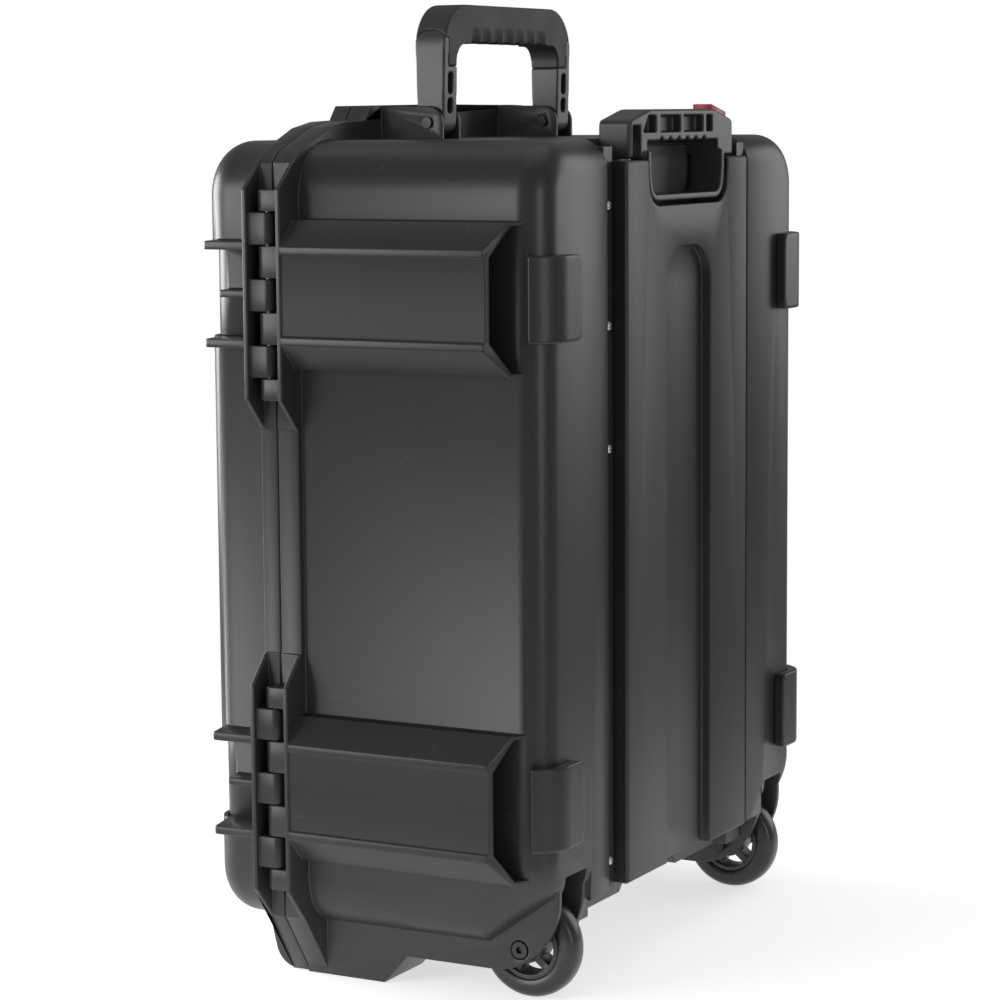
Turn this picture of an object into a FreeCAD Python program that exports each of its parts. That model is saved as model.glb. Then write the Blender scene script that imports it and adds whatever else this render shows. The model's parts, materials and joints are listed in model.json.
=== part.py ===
import FreeCAD, Part
import math
import os

# Rolling hard case for a drone, in millimetres, standing upright on its wheels.
# +Z is up, +X is the hinge side, -X the latch side, -Y the lid, +Y the back with the pull handle.
# The origin is on the ground, under the middle of the whole case.

# ---- overall sizes -------------------------------------------------------------------------
BODY_W = 510.0           # body across its side walls, X
BODY_H = 656.0           # body from bottom wall to top wall, Z
BODY_BOTTOM = 45.0       # bottom wall above the ground
BASE_DEPTH = 243.5       # parting plane to back face, Y
LID_DEPTH = 77.0         # parting plane to lid front, Y
WALL = 4.0               # moulded wall
END_R = 45.0             # corner radius seen from the lid
BACK_R = 25.0            # radius round the back face
LID_R = 28.0             # radius round the lid front
PARTING_GAP = 0.6        # between lid flange and base flange
CLEAR = 0.4              # free gap round moving pieces
RUN = 0.05               # radial clearance of running fits

# ---- flange, hinges and ribs ---------------------------------------------------------------
FLANGE_REACH = 30.0      # flange beyond the body wall at the hinges
FLANGE_MID_REACH = 6.0   # flange beyond the body wall between the hinges
CORE_REACH = 7.0         # full-depth part of the flange behind the knuckles
LID_FLANGE = 15.7        # lid flange depth along Y
BASE_FLANGE = 19.7       # base flange depth along Y
RIM_PLATE = 4.0          # outer plates that carry the knuckles
STATION_IN = 124.0       # hinge, latch and pad centres inside the top and bottom walls
ZONE_HALF = 85.5         # half height of one hinge group
ZONE_SLOPE = 26.0        # height of the slope from the hinge group to the middle
HINGE_PITCH = 27.0       # knuckle to knuckle
KNUCKLE_GAP = 0.8
KNUCKLE_R = 7.7
HINGE_SETBACK = 2.0      # hinge axis behind the parting plane
HINGE_PIN_R = 2.5
FIN_SPACING = 40.0       # lid fins above and below each station
FIN_T = 7.0
FIN_LENGTH = 55.0        # fin from the parting plane towards the lid front
MIDDLE_RIB_REACH = 17.0
RELIEF = 5.0             # lid corner set back between the fins

# ---- gussets beside the hinges -------------------------------------------------------------
GUSSET_HALF = 39.5       # half height of the flat face
GUSSET_RAIL = 6.0        # raised rail along each edge of the face
GUSSET_RAIL_UP = 2.0
GUSSET_WING = 21.5       # height of each sloped wing
GUSSET_LIP = 10.0        # straight lip between wing and wall
GUSSET_T = 3.5
GUSSET_SHORT = 38.5      # end of the face in front of the back face
GUSSET_SLANT = 23.0      # the wall end reaches further than the face end

# ---- bottom, feet and wheels ---------------------------------------------------------------
SLOPE_RUN = 67.0         # length of the rising bottom, from the back face
SLOPE_RISE = 0.717
TAIL_RISE = 33.0         # bottom edge of the back face above the bottom wall
SKIRT_INSET = 28.0       # cheek outer face inside the body wall
SKIRT_Z = 25.0           # underside of the skirt
FOOT_LENGTH = 75.0       # base foot along Y
FOOT_W = 60.0
WHEEL_R = 44.0
WHEEL_W = 24.0
WHEEL_BACK = 40.0        # wheel axis in front of the back face
WHEEL_ROOM = 6.5         # between the tyre and each wall of its well
WELL_REACH = 8.0         # well in front of the tyre
WELL_RISE = 19.5         # well above the tyre
CHEEK_T = 6.0            # outer wall of the wheel well
CHEEK_REACH = 20.0       # cheek in front of the tyre
CHEEK_BACK = 3.5         # cheek in front of the back face
WELL_WALL = 8.0          # inner wall of the wheel well
FOOT_TOE = 9.0           # slanted end of a foot, along Y
FOOT_TOE_RISE = 10.0
FLANGE_FOOT_INSET = 32.0 # outer side of the feet inside the body wall
RUNNER_LENGTH = 60.0     # skid under the back edge
RUNNER_LOW = 54.0
AXLE_R = 4.0
AXLE_HEAD_R = 7.0
AXLE_HEAD_T = 5.0
BEARING_R = 11.0
BEARING_W = 7.0
HUB_WALL = 3.0           # round the bearing
TYRE_T = 16.0            # tread to hub
SPOKES = 5
SPOKE_LEAN = 14.0        # degrees

# ---- pull handle ---------------------------------------------------------------------------
RECESS_HALF = 141.0      # recess in the back face, half width
RECESS_DEPTH = 32.0
COVER_HALF = 121.6
COVER_BOTTOM = 80.3
COVER_DROP = 17.7        # cover top below the top wall
COVER_PROUD = 8.0        # cover in front of the back face
COVER_T = 3.0
GROOVE_HALF = 44.0
GROOVE_DEPTH = 9.0
GROOVE_DROP = 91.0       # groove top below the top wall
NOTCH_TOP_HALF = 80.0    # hand notch in the cover
NOTCH_BOTTOM_HALF = 76.0
NOTCH_R = 20.0            # its bottom corners
NOTCH_DEPTH = 38.7
STRIP_SINK = 4.0         # screw strips below the back face
STRIP_W = 16.0
SCREW_DROPS = (54.0, 152.0, 253.0)   # screws below the top wall
LOW_SCREW_RISE = 24.0    # lowest screw above the tail
HOUSING_T = 3.0
TUBE_GAP = 0.5           # round a pull tube in its guide tube
GUIDE_WALL = 1.5
BUSH_H = 6.0
PLUG_H = 20.0
PULL_TUBE_R = 10.0
PULL_TUBE_WALL = 1.5
PULL_TRAVEL = 380.0
HEAD_HALF = 103.0
HEAD_DEPTH = 30.0
HEAD_RISE = 23.5         # head top above the top wall
HEAD_SLOPE = 39.0        # sloping shoulder, from each end
HEAD_SLOPE_DROP = 9.0
RING_GAP = 4.0           # between the hand ring and the notch
RING_CLEAR = 1.5         # between the hand ring and its pocket
POCKET_GAP = 0.5         # between the pocket and the guide tubes
RING_T = 5.0
POCKET_T = 0.8           # back of the hand pocket
POCKET_SIDE = 1.5
GRIP_DEPTH = 26.0        # head top to the underside of its grip
GRIP_LOBES = 6           # finger hollows under the grip
LOBE_PITCH = 17.0
LOBE_R = 4.5
CELLS = ((53.0, 79.0), (5.0, 45.0), (-41.0, -0.5), (-60.0, -47.0))   # front cells of the head
CELL_DEPTH = 8.5
BUTTON_OUTER = 6.0       # button end inside the head's end face
BUTTON_L = 30.0
BUTTON_BACK = 6.0        # button behind the tubes' axes
BUTTON_FRONT = 12.0      # and in front of them
BUTTON_TRAVEL = 4.0
BUTTON_PROUD = 5.0
BAR_DROP = 15.5          # release bar below the head top
BAR_H = 4.0
ROD_R = 3.0

# ---- carry handles -------------------------------------------------------------------------
HANDLE_HALF = 116.0      # outer half width
HANDLE_ARM = 23.0        # arm thickness along the pivot axis
HANDLE_EYE = 25.0        # arm width across, at the pivot
HANDLE_DEPTH = 29.0      # width across, at the grip
HANDLE_SHOULDER_R = 38.0
HANDLE_LENGTH = 99.0     # pivot to grip top
GRIP_BAR = 33.0
GRIP_REACH = 47.0        # rubber reaches this far above the pivot
GRIP_SKIN = 4.0
GRIP_CHEEK = 8.0         # bare outer cheek of each arm beside the rubber
CHEEK_DROP = 22.0        # cheek top below the grip top
PIVOT_RISE = 13.5        # top handle pivot above the wall
SIDE_PIVOT_RISE = 15.3
TOP_PIVOT_BACK = 65.0    # parting plane to top handle pivot
SIDE_PIVOT_BACK = 40.0
EAR_T = 4.0
EAR_GAP = 1.0
EAR_R = 14.0
HANDLE_PIN_R = 3.0
GRIP_GROOVES = 7
GROOVE_PITCH = 20.0
GROOVE_LEAN = 28.0       # degrees

# ---- latches, locks and valve --------------------------------------------------------------
LATCH_HALF = 28.4        # half height of the lever
LATCH_T = 6.5
LATCH_PIVOT_BACK = 20.0  # pivot in front of the parting plane
LATCH_PIVOT_REACH = 14.0
LATCH_BARREL_R = 6.5
LATCH_LENGTH = 30.0      # lever past the parting plane
LATCH_PIN_R = 2.0
KEEPER_REACH = 16.5
TRIGGER_HALF = 12.0
TRIGGER_L = 16.0
TRIGGER_TRAVEL = 2.5
TRIGGER_PROUD = 1.5
LOCK_OFFSET = 52.0       # padlock tab from the latch centre, towards mid height
LOCK_HALF = 10.0         # half height of the padlock tab
LOCK_GAP = 21.0          # padlock tab to the side handle's outer ear
LOCK_HOLE_R = 4.0
LOCK_SLEEVE_T = 1.5
VALVE_R = 13.0
VALVE_PROUD = 6.0

# ---- pads, seal and foam -------------------------------------------------------------------
PAD_RAISE = 9.5
PAD_HALF = 34.5
PAD_W = 50.0             # pad across the back face, from the body wall
GASKET_W = 4.0
GASKET_T = 3.5
GASKET_REACH = 3.0       # seal's outer edge outside the body's outline
FOAM_GAP = 1.0
LID_PRESS = 3.0          # cut foam below the parting plane
POCKET_DEPTH = 120.0
FOAM_SPLIT = 103.0       # joint between the two cut foam blocks, below mid height
DRONE_RISE = 110.0       # drone pocket centre above mid height
DRONE_HALF = 105.0
ARM_REACH = 225.0        # pocket for each folding arm, from the drone's centre
ARM_HALF = 38.0
GEAR_DROP = 190.0        # controller and batteries below mid height

# ---- places that follow from the sizes -----------------------------------------------------
HALF = BODY_W / 2
BODY_TOP = BODY_BOTTOM + BODY_H
MID_Z = BODY_BOTTOM + BODY_H / 2
DEPTH = LID_DEPTH + BASE_DEPTH + PAD_RAISE
FRONT_Y = -DEPTH / 2
PART_Y = FRONT_Y + LID_DEPTH
BACK_Y = PART_Y + BASE_DEPTH
LID_EDGE = PART_Y - PARTING_GAP / 2
BASE_EDGE = PART_Y + PARTING_GAP / 2
LID_RIM_Y = LID_EDGE - LID_FLANGE
BASE_RIM_Y = BASE_EDGE + BASE_FLANGE
STATION = BODY_H / 2 - STATION_IN
STATIONS = {"upper": MID_Z + STATION, "lower": MID_Z - STATION}
LATCH_STATION = HANDLE_HALF + EAR_GAP + EAR_T + LOCK_GAP + LOCK_HALF + LOCK_OFFSET
LATCH_STATIONS = {"upper": MID_Z + LATCH_STATION, "lower": MID_Z - LATCH_STATION}
SIDES = {"hinge_side": 1, "latch_side": -1}
HINGE_X = HALF + FLANGE_REACH - 4.0 - KNUCKLE_R
HINGE_Y = PART_Y + HINGE_SETBACK
RECESS_Y = BACK_Y - RECESS_DEPTH
COVER_Y = BACK_Y + COVER_PROUD
COVER_TOP = BODY_TOP - COVER_DROP
CHANNEL_Y = RECESS_Y + HOUSING_T
GUIDE_R = PULL_TUBE_R + TUBE_GAP + GUIDE_WALL
TUBE_X = NOTCH_TOP_HALF - RING_GAP + RING_CLEAR + POCKET_SIDE + POCKET_GAP + GUIDE_R
TUBE_Y = CHANNEL_Y + GUIDE_R + 3.0
HEAD_BOTTOM = COVER_TOP + 0.7
HEAD_TOP = BODY_TOP + HEAD_RISE
HEAD_BACK = CHANNEL_Y + 1.2
HEAD_FRONT = HEAD_BACK + HEAD_DEPTH
GUIDE_BOTTOM = COVER_BOTTOM + 8.0
GUIDE_TOP = COVER_TOP - 7.3
GRIP_UNDER = HEAD_TOP - GRIP_DEPTH
BAR_LOW = HEAD_TOP - BAR_DROP
TAIL_Z = BODY_BOTTOM + TAIL_RISE
HUB_R = WHEEL_R - TYRE_T
WHEEL_Y = BACK_Y - WHEEL_BACK
CHEEK_X = HALF - SKIRT_INSET
WELL_OUTER = CHEEK_X - CHEEK_T
WELL_INNER = WELL_OUTER - WHEEL_W - 2 * WHEEL_ROOM
WELL_TOP = 2 * WHEEL_R + WELL_RISE
WELL_R = WHEEL_R + WELL_REACH
CHEEK_R = WHEEL_R + CHEEK_REACH
WHEEL_X = (WELL_INNER + WELL_OUTER) / 2
SKIRT_INNER = WELL_INNER - WELL_WALL
PADLOCK_X = HALF + 17.0
LATCH_X = HALF + LATCH_PIVOT_REACH
LATCH_Y = PART_Y - LATCH_PIVOT_BACK
LATCH_FACE = HALF + FLANGE_REACH - TRIGGER_PROUD


# ---- drawing helpers -----------------------------------------------------------------------
def vec(plane, at, a, b):
    """A point on a plane: 'x' takes (y, z), 'y' takes (x, z) and 'z' takes (x, y)."""
    if plane == "x":
        return FreeCAD.Vector(at, a, b)
    if plane == "y":
        return FreeCAD.Vector(a, at, b)
    return FreeCAD.Vector(a, b, at)


def along(plane, length):
    return vec(plane, length, 0, 0)


def rounded_corner(before, corner, after, radius):
    """Start, middle and end of the arc that rounds one corner of an outline."""
    to_before = (before - corner).normalize()
    to_after = (after - corner).normalize()
    half = to_before.getAngle(to_after) / 2
    reach = radius / math.tan(half)
    bisector = (to_before + to_after).normalize()
    middle = corner + bisector * (radius / math.sin(half) - radius)
    return corner + to_before * reach, middle, corner + to_after * reach


def outline(plane, at, points, radius=0.0):
    """A face from corner points (a, b) or (a, b, radius)."""
    corners = [vec(plane, at, p[0], p[1]) for p in points]
    radii = [p[2] if len(p) > 2 else radius for p in points]
    count = len(corners)
    ends = []
    edges = []
    for i, corner in enumerate(corners):
        if radii[i] > 0:
            start, middle, end = rounded_corner(corners[i - 1], corner, corners[(i + 1) % count], radii[i])
            edges.append(Part.Arc(start, middle, end).toShape())
            ends.append((start, end))
        else:
            ends.append((corner, corner))
    for i in range(count):
        start = ends[i][1]
        end = ends[(i + 1) % count][0]
        if start.distanceToPoint(end) > 1e-6:
            edges.append(Part.LineSegment(start, end).toShape())
    return Part.Face(Part.Wire(Part.__sortEdges__(edges)))


def prism(plane, start, end, points, radius=0.0):
    return outline(plane, start, points, radius).extrude(along(plane, end - start))


def box(x0, x1, y0, y1, z0, z1):
    return Part.makeBox(x1 - x0, y1 - y0, z1 - z0, FreeCAD.Vector(x0, y0, z0))


def rod(plane, start, end, a, b, radius):
    return Part.makeCylinder(radius, end - start, vec(plane, start, a, b), along(plane, 1))


def tube(plane, start, end, a, b, outer, inner):
    return rod(plane, start, end, a, b, outer).cut(rod(plane, start, end, a, b, inner))


def rectangle(a0, a1, b0, b1):
    return [(a0, b0), (a1, b0), (a1, b1), (a0, b1)]


def mirror_x(shape):
    return shape.mirror(FreeCAD.Vector(0, 0, 0), FreeCAD.Vector(1, 0, 0))


def on_side(shape, sign):
    return shape if sign > 0 else mirror_x(shape)


def joined(shapes):
    return shapes[0].fuse(shapes[1:]).removeSplitter() if len(shapes) > 1 else shapes[0]


def fillet_where(shape, radius, wanted):
    return shape.makeFillet(radius, [e for e in shape.Edges if wanted(e)])


def lies_at(plane, at):
    """True for an edge whose whole length lies in the plane at this coordinate."""
    low = {"x": "XMin", "y": "YMin", "z": "ZMin"}[plane]
    high = low.replace("Min", "Max")

    def wanted(edge):
        bounds = edge.BoundBox
        return abs(getattr(bounds, low) - at) < 0.01 and abs(getattr(bounds, high) - at) < 0.01
    return wanted


def save(name, shape):
    shape.exportStep("parts/" + name + ".step")


# ---- base body -----------------------------------------------------------------------------
def base_block(inset, front):
    """Rounded block of the base, moved in by inset on every side but the front."""
    half = HALF - inset
    back = BACK_Y - inset
    radius = END_R - inset
    low = BODY_BOTTOM + inset
    straight = prism("y", front, back, rectangle(-half, half, low, BODY_TOP - inset), radius)
    start = BACK_Y - SLOPE_RUN
    rise = SLOPE_RISE
    slope_low = BODY_BOTTOM + inset * math.hypot(1, rise) + (front - start) * rise
    tall = BODY_TOP + BODY_H
    slanted = outline("y", front, rectangle(-half, half, slope_low, tall), radius)
    run = back - front
    slanted = slanted.extrude(FreeCAD.Vector(0, run, run * rise))
    return fillet_where(straight.common(slanted), BACK_R - inset, lies_at("y", back))


def trolley_bump(inset):
    """What the pull handle's recess takes out of the inside."""
    return box(-RECESS_HALF - inset, RECESS_HALF + inset, RECESS_Y - inset, BACK_Y, 0, BODY_TOP)


def well_profile(grow):
    """Side view of a wheel well: round at the front and top, open at the back and below."""
    front = WHEEL_Y - WELL_R - grow
    return [(front, -10), (BACK_Y + 20, -10), (BACK_Y + 20, WELL_TOP + grow), (front, WELL_TOP + grow, 40)]


def wheel_well(sign, grow):
    return on_side(prism("x", WELL_INNER - grow, WELL_OUTER + grow, well_profile(grow)), sign)


def base_cavity(inset):
    room = base_block(inset, PART_Y - 5).cut(trolley_bump(inset))
    for sign in (1, -1):
        room = room.cut(wheel_well(sign, inset).common(box(-HALF, HALF, PART_Y, BACK_Y, 0, BODY_TOP)))
    return room


def flange_outline(sign):
    """Half of the flange's outline, from the middle of the top round to the middle of the bottom."""
    out = HALF + FLANGE_REACH if sign > 0 else HALF + CORE_REACH
    mid = HALF + FLANGE_MID_REACH
    foot_x = HALF - FLANGE_FOOT_INSET
    zone_top = MID_Z + STATION + ZONE_HALF
    zone_low = MID_Z + STATION - ZONE_HALF
    half = [(0, BODY_TOP + 29), (HANDLE_HALF + 21, BODY_TOP + 28), (HANDLE_HALF + 31, BODY_TOP + 16),
            (HALF - 77, BODY_TOP + 15), (HALF - 48, BODY_TOP + 10),
            (HALF - 3, BODY_TOP - 8), (out, zone_top), (out, zone_low), (mid, zone_low - ZONE_SLOPE),
            (mid, 2 * MID_Z - zone_low + ZONE_SLOPE), (out, 2 * MID_Z - zone_low),
            (out, 2 * MID_Z - zone_top), (HALF + 5, BODY_BOTTOM + 9), (foot_x, 0),
            (foot_x - FOOT_W, 0), (foot_x - 30 - FOOT_W, BODY_BOTTOM), (0, BODY_BOTTOM)]
    return [(sign * x, z) for x, z in half]


def flange(y0, y1, plate0, plate1):
    """A flange of full depth inside the core line, and a rim plate outside it on the hinge side."""
    points = flange_outline(1) + list(reversed(flange_outline(-1)))[1:-1]
    core = box(-HALF - 60, HALF + CORE_REACH, y0, y1, -1, BODY_TOP + 60)
    return joined([prism("y", y0, y1, points).common(core), prism("y", plate0, plate1, points)])


def knuckle(z0, z1, base_side, bore):
    """One hinge knuckle, with its block running back to its own rim plate."""
    outer = HINGE_X + KNUCKLE_R
    inner = HALF + CORE_REACH - 1
    barrel = rod("z", z0, z1, HINGE_X, HINGE_Y, KNUCKLE_R)
    if base_side:
        blocks = [box(inner, outer, HINGE_Y, BASE_RIM_Y, z0, z1)]
    else:
        blocks = [box(inner, outer, LID_RIM_Y, LID_EDGE, z0, z1),
                  box(HINGE_X - KNUCKLE_R, outer, LID_EDGE - 1, HINGE_Y, z0, z1)]
    return joined([barrel] + blocks).cut(rod("z", z0 - 1, z1 + 1, HINGE_X, HINGE_Y, bore))


def hinge_knuckles(base_side):
    bore = HINGE_PIN_R if base_side else HINGE_PIN_R + RUN
    half = (HINGE_PITCH - KNUCKLE_GAP) / 2
    found = []
    for z in STATIONS.values():
        for step in ((-1, 1) if base_side else (-2, 0, 2)):
            centre = z + step * HINGE_PITCH
            found.append(knuckle(centre - half, centre + half, base_side, bore))
        if base_side:
            end = 3 * HINGE_PITCH - half
            found.append(knuckle(z + end, z + ZONE_HALF, True, bore))
            found.append(knuckle(z - ZONE_HALF, z - end, True, bore))
    return found


def gusset(z):
    """Hollow hat section from the hinge flange along the side wall, open at its far end."""
    face = HALF + FLANGE_REACH
    low = GUSSET_HALF - GUSSET_RAIL
    wing = GUSSET_HALF + GUSSET_WING
    root = HALF - 3
    lip = HALF + GUSSET_LIP
    floor = face - GUSSET_RAIL_UP
    half = [(root, wing), (lip, wing), (face, GUSSET_HALF), (face, low), (floor, low - 1)]
    outer = [(x, z + dz) for x, dz in half] + [(x, z - dz) for x, dz in reversed(half)]
    t = GUSSET_T
    half = [(root - 1, wing - t), (lip - t / 2, wing - t), (floor - t, low)]
    inner = [(x, z + dz) for x, dz in half] + [(x, z - dz) for x, dz in reversed(half)]
    start = BASE_RIM_Y - 1
    end = BACK_Y - GUSSET_SHORT
    far = end + GUSSET_SLANT
    hat = prism("y", start, far, outer).cut(prism("y", start, far + 1, inner))
    slant = [(face + 1, end), (face + 1, far + 5), (root - 2, far + 5), (root - 2, far)]
    return hat.cut(prism("z", z - wing - 1, z + wing + 1, slant))


def handle_ears(pivot_back, rise, bore):
    """Four ears in the top handle's place; pivot_back is from the parting plane, rise from the wall."""
    pivot_y = PART_Y + TOP_PIVOT_BACK
    start = pivot_y - pivot_back + BASE_RIM_Y - PART_Y - 2
    pivot_z = BODY_TOP + PIVOT_RISE
    low = pivot_z - rise - WALL
    found = []
    inner_face = HANDLE_HALF - HANDLE_ARM - EAR_GAP
    for sign in (1, -1):
        for x in (HANDLE_HALF + EAR_GAP, inner_face - EAR_T):
            plate = box(x, x + EAR_T, start, pivot_y, low, pivot_z + EAR_R)
            plate = plate.fuse(box(x, x + EAR_T, pivot_y - 1, pivot_y + EAR_R, low, pivot_z))
            plate = plate.fuse(rod("x", x, x + EAR_T, pivot_y, pivot_z, EAR_R))
            plate = plate.cut(rod("x", x - 1, x + EAR_T + 1, pivot_y, pivot_z, bore))
            found.append(on_side(plate, sign))
    return found


def to_latch_side(shape):
    """Carries a piece of the top handle to the side handle, folded against the latch-side wall."""
    lift = BODY_TOP + PIVOT_RISE
    moved = shape.copy()
    moved.translate(FreeCAD.Vector(0, -PART_Y, -lift))
    moved.rotate(FreeCAD.Vector(), FreeCAD.Vector(0, 1, 0), -90)
    moved.translate(FreeCAD.Vector(-HALF - SIDE_PIVOT_RISE, PART_Y - TOP_PIVOT_BACK + SIDE_PIVOT_BACK, MID_Z))
    return moved


def skirt(sign):
    """Cheek and foot under one side: a foot at the front, then the skirt and the wheel's cheek."""
    toe = BASE_EDGE + FOOT_LENGTH
    end = BACK_Y - CHEEK_BACK
    side = [(BASE_EDGE, 0), (toe, 0), (toe + FOOT_TOE, FOOT_TOE_RISE), (toe + 2 * FOOT_TOE + 4, SKIRT_Z),
            (end - CHEEK_R, SKIRT_Z), (end, SKIRT_Z, CHEEK_R - 1), (end, WELL_TOP + 6),
            (BASE_EDGE, BODY_BOTTOM + 50)]
    return on_side(prism("x", SKIRT_INNER, CHEEK_X, side), sign)


def foot(sign):
    """Flat-bottomed foot beside the skirt, inboard of it."""
    inner = HALF - FLANGE_FOOT_INSET - FOOT_W
    toe = BASE_EDGE + FOOT_LENGTH
    side = [(BASE_EDGE, 0), (toe, 0), (toe + FOOT_TOE, FOOT_TOE_RISE), (toe + FOOT_TOE, BODY_BOTTOM + 2),
            (BASE_EDGE, BODY_BOTTOM + 2)]
    return on_side(prism("x", inner, SKIRT_INNER + 1, side), sign)


def runner(sign):
    """Skid under the back edge, between the wheel and the middle."""
    back = BACK_Y - 20
    inner = RECESS_HALF - 92
    wall = SKIRT_INNER + 1
    top = TAIL_Z + 17
    end = [(wall, RUNNER_LOW), (inner + 8, RUNNER_LOW), (inner, RUNNER_LOW + 8), (inner, top), (wall, top)]
    return on_side(prism("y", back - RUNNER_LENGTH, back, end), sign)


def base_shell():
    outer = base_block(0, BASE_EDGE)
    tail = box(-SKIRT_INNER, SKIRT_INNER, BACK_Y - WALL, BACK_Y, TAIL_Z, TAIL_Z + 45)
    parts = [outer, tail, flange(BASE_EDGE, BASE_RIM_Y, BASE_RIM_Y - RIM_PLATE, BASE_RIM_Y)]
    parts += [skirt(s) for s in (1, -1)] + [foot(s) for s in (1, -1)] + [runner(s) for s in (1, -1)]
    parts += [gusset(z) for z in STATIONS.values()]
    solid = joined(parts)
    solid = solid.cut(base_cavity(WALL))
    solid = solid.cut(box(-RECESS_HALF, RECESS_HALF, RECESS_Y, BACK_Y + 20, 0, BODY_TOP + 20))
    for sign in (1, -1):
        solid = solid.cut(wheel_well(sign, 0)).cut(axle_holes(sign))
    extra = hinge_knuckles(True) + handle_ears(TOP_PIVOT_BACK, PIVOT_RISE, HANDLE_PIN_R)
    extra += [to_latch_side(ear) for ear in handle_ears(SIDE_PIVOT_BACK, SIDE_PIVOT_RISE, HANDLE_PIN_R)]
    for z in LATCH_STATIONS.values():
        extra += [latch_keeper(z)] + latch_guards(z)
    extra += [padlock_tab(z, BASE_EDGE, BASE_RIM_Y) for z in padlock_heights()]
    solid = joined([solid] + extra)
    for z in padlock_heights():
        solid = solid.cut(padlock_bore(z))
    return solid.cut(rod("x", -HALF - 10, -HALF + 10, valve_y(), MID_Z, VALVE_R - 4))


def axle_holes(sign):
    through = rod("x", SKIRT_INNER - 1, CHEEK_X + 1, WHEEL_Y, WHEEL_R, AXLE_R)
    sink = rod("x", CHEEK_X - AXLE_HEAD_T, CHEEK_X + 1, WHEEL_Y, WHEEL_R, AXLE_HEAD_R + 1)
    return on_side(through.fuse(sink), sign)


def latch_keeper(z):
    """Lip that the latch's hook reaches over."""
    half = LATCH_HALF - 4
    return box(-HALF - KEEPER_REACH, -HALF, BASE_EDGE, BASE_RIM_Y, z - half, z + half)


def latch_guards(z):
    """A rib on each side of the latch, running back along the wall."""
    found = []
    reach = -HALF - 24
    for edge in (z - LATCH_HALF - 14, z + LATCH_HALF + 8):
        root = -HALF + 2
        rib = [(root, BASE_EDGE), (reach, BASE_EDGE), (reach, BASE_RIM_Y + 20), (root, BASE_RIM_Y + 90)]
        found.append(prism("z", edge, edge + 6, rib))
    return found


def padlock_heights():
    return [MID_Z + LATCH_STATION - LOCK_OFFSET, MID_Z - LATCH_STATION + LOCK_OFFSET]


def padlock_tab(z, y0, y1):
    tab = prism("y", y0, y1, rectangle(-PADLOCK_X - LOCK_HALF, -HALF, z - LOCK_HALF, z + LOCK_HALF))
    outer = lies_at("x", -PADLOCK_X - LOCK_HALF)
    return fillet_where(tab, 8.0, lambda e: outer(e) and e.BoundBox.YLength > 1)


def padlock_bore(z):
    return rod("y", LID_RIM_Y - 1, BASE_RIM_Y + 1, -PADLOCK_X, z, LOCK_HOLE_R + LOCK_SLEEVE_T)


def padlock_sleeves(y0, y1):
    outer = LOCK_HOLE_R + LOCK_SLEEVE_T
    heights = padlock_heights()
    return Part.makeCompound([tube("y", y0, y1, -PADLOCK_X, z, outer, LOCK_HOLE_R) for z in heights])


def valve_y():
    return BACK_Y - BACK_R - VALVE_R - 18


def pressure_valve():
    """Breather screwed into the latch-side wall, with a grip rim and a vented cap."""
    shank = rod("x", -HALF - 1, -HALF + WALL + 4, valve_y(), MID_Z, VALVE_R - 4)
    head = rod("x", -HALF - VALVE_PROUD, -HALF, valve_y(), MID_Z, VALVE_R)
    valve = shank.fuse(head)
    for step in range(12):
        angle = 2 * math.pi * step / 12
        y = valve_y() + VALVE_R * math.cos(angle)
        z = MID_Z + VALVE_R * math.sin(angle)
        valve = valve.cut(rod("x", -HALF - VALVE_PROUD - 1, -HALF - 1.5, y, z, 1.6))
    return valve.cut(tube("x", -HALF - VALVE_PROUD - 1, -HALF - VALVE_PROUD + 1, valve_y(), MID_Z, 8.0, 6.5))


def back_pad(sign, z):
    """Pad wrapped round a back corner, that the case lies on."""
    cx = HALF - BACK_R
    cy = BACK_Y - BACK_R
    inner = HALF - PAD_W
    ring = tube("z", z - PAD_HALF, z + PAD_HALF, cx, cy, BACK_R + PAD_RAISE, BACK_R)
    wedge = [(cx, cy), (cx, cy + 100), (cx + 100, cy + 100), (cx + 100, cy + 45)]
    ring = ring.common(prism("z", z - PAD_HALF, z + PAD_HALF, wedge))
    flat = box(inner, cx, BACK_Y, BACK_Y + PAD_RAISE, z - PAD_HALF, z + PAD_HALF)
    pad = joined([ring, flat])
    pad = fillet_where(pad, 8.0, lambda e: lies_at("x", inner)(e) and abs(e.BoundBox.YLength) > 1)
    return on_side(pad, sign)


# ---- pull handle ---------------------------------------------------------------------------
def screw_heights():
    return [BODY_TOP - drop for drop in SCREW_DROPS] + [TAIL_Z + LOW_SCREW_RISE]


def strip_x():
    return RECESS_HALF - STRIP_W / 2 - 1.5


def trolley_housing():
    """Channel lining the recess, with a screw strip along each edge."""
    half = RECESS_HALF - 0.3
    low = TAIL_Z + 2
    high = BODY_TOP - 6
    strip_y = BACK_Y - STRIP_SINK
    block = box(-half, half, RECESS_Y, strip_y, low, high)
    inner = RECESS_HALF - STRIP_W
    room = half - HOUSING_T
    block = block.cut(box(-room, room, CHANNEL_Y, strip_y - HOUSING_T, low - 1, high + 1))
    block = block.cut(box(-inner, inner, CHANNEL_Y, strip_y + 1, low - 1, high + 1))
    for x in (strip_x(), -strip_x()):
        for z in screw_heights():
            block = block.cut(rod("y", strip_y - HOUSING_T - 1, strip_y + 1, x, z, 2.0))
    return block


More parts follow.
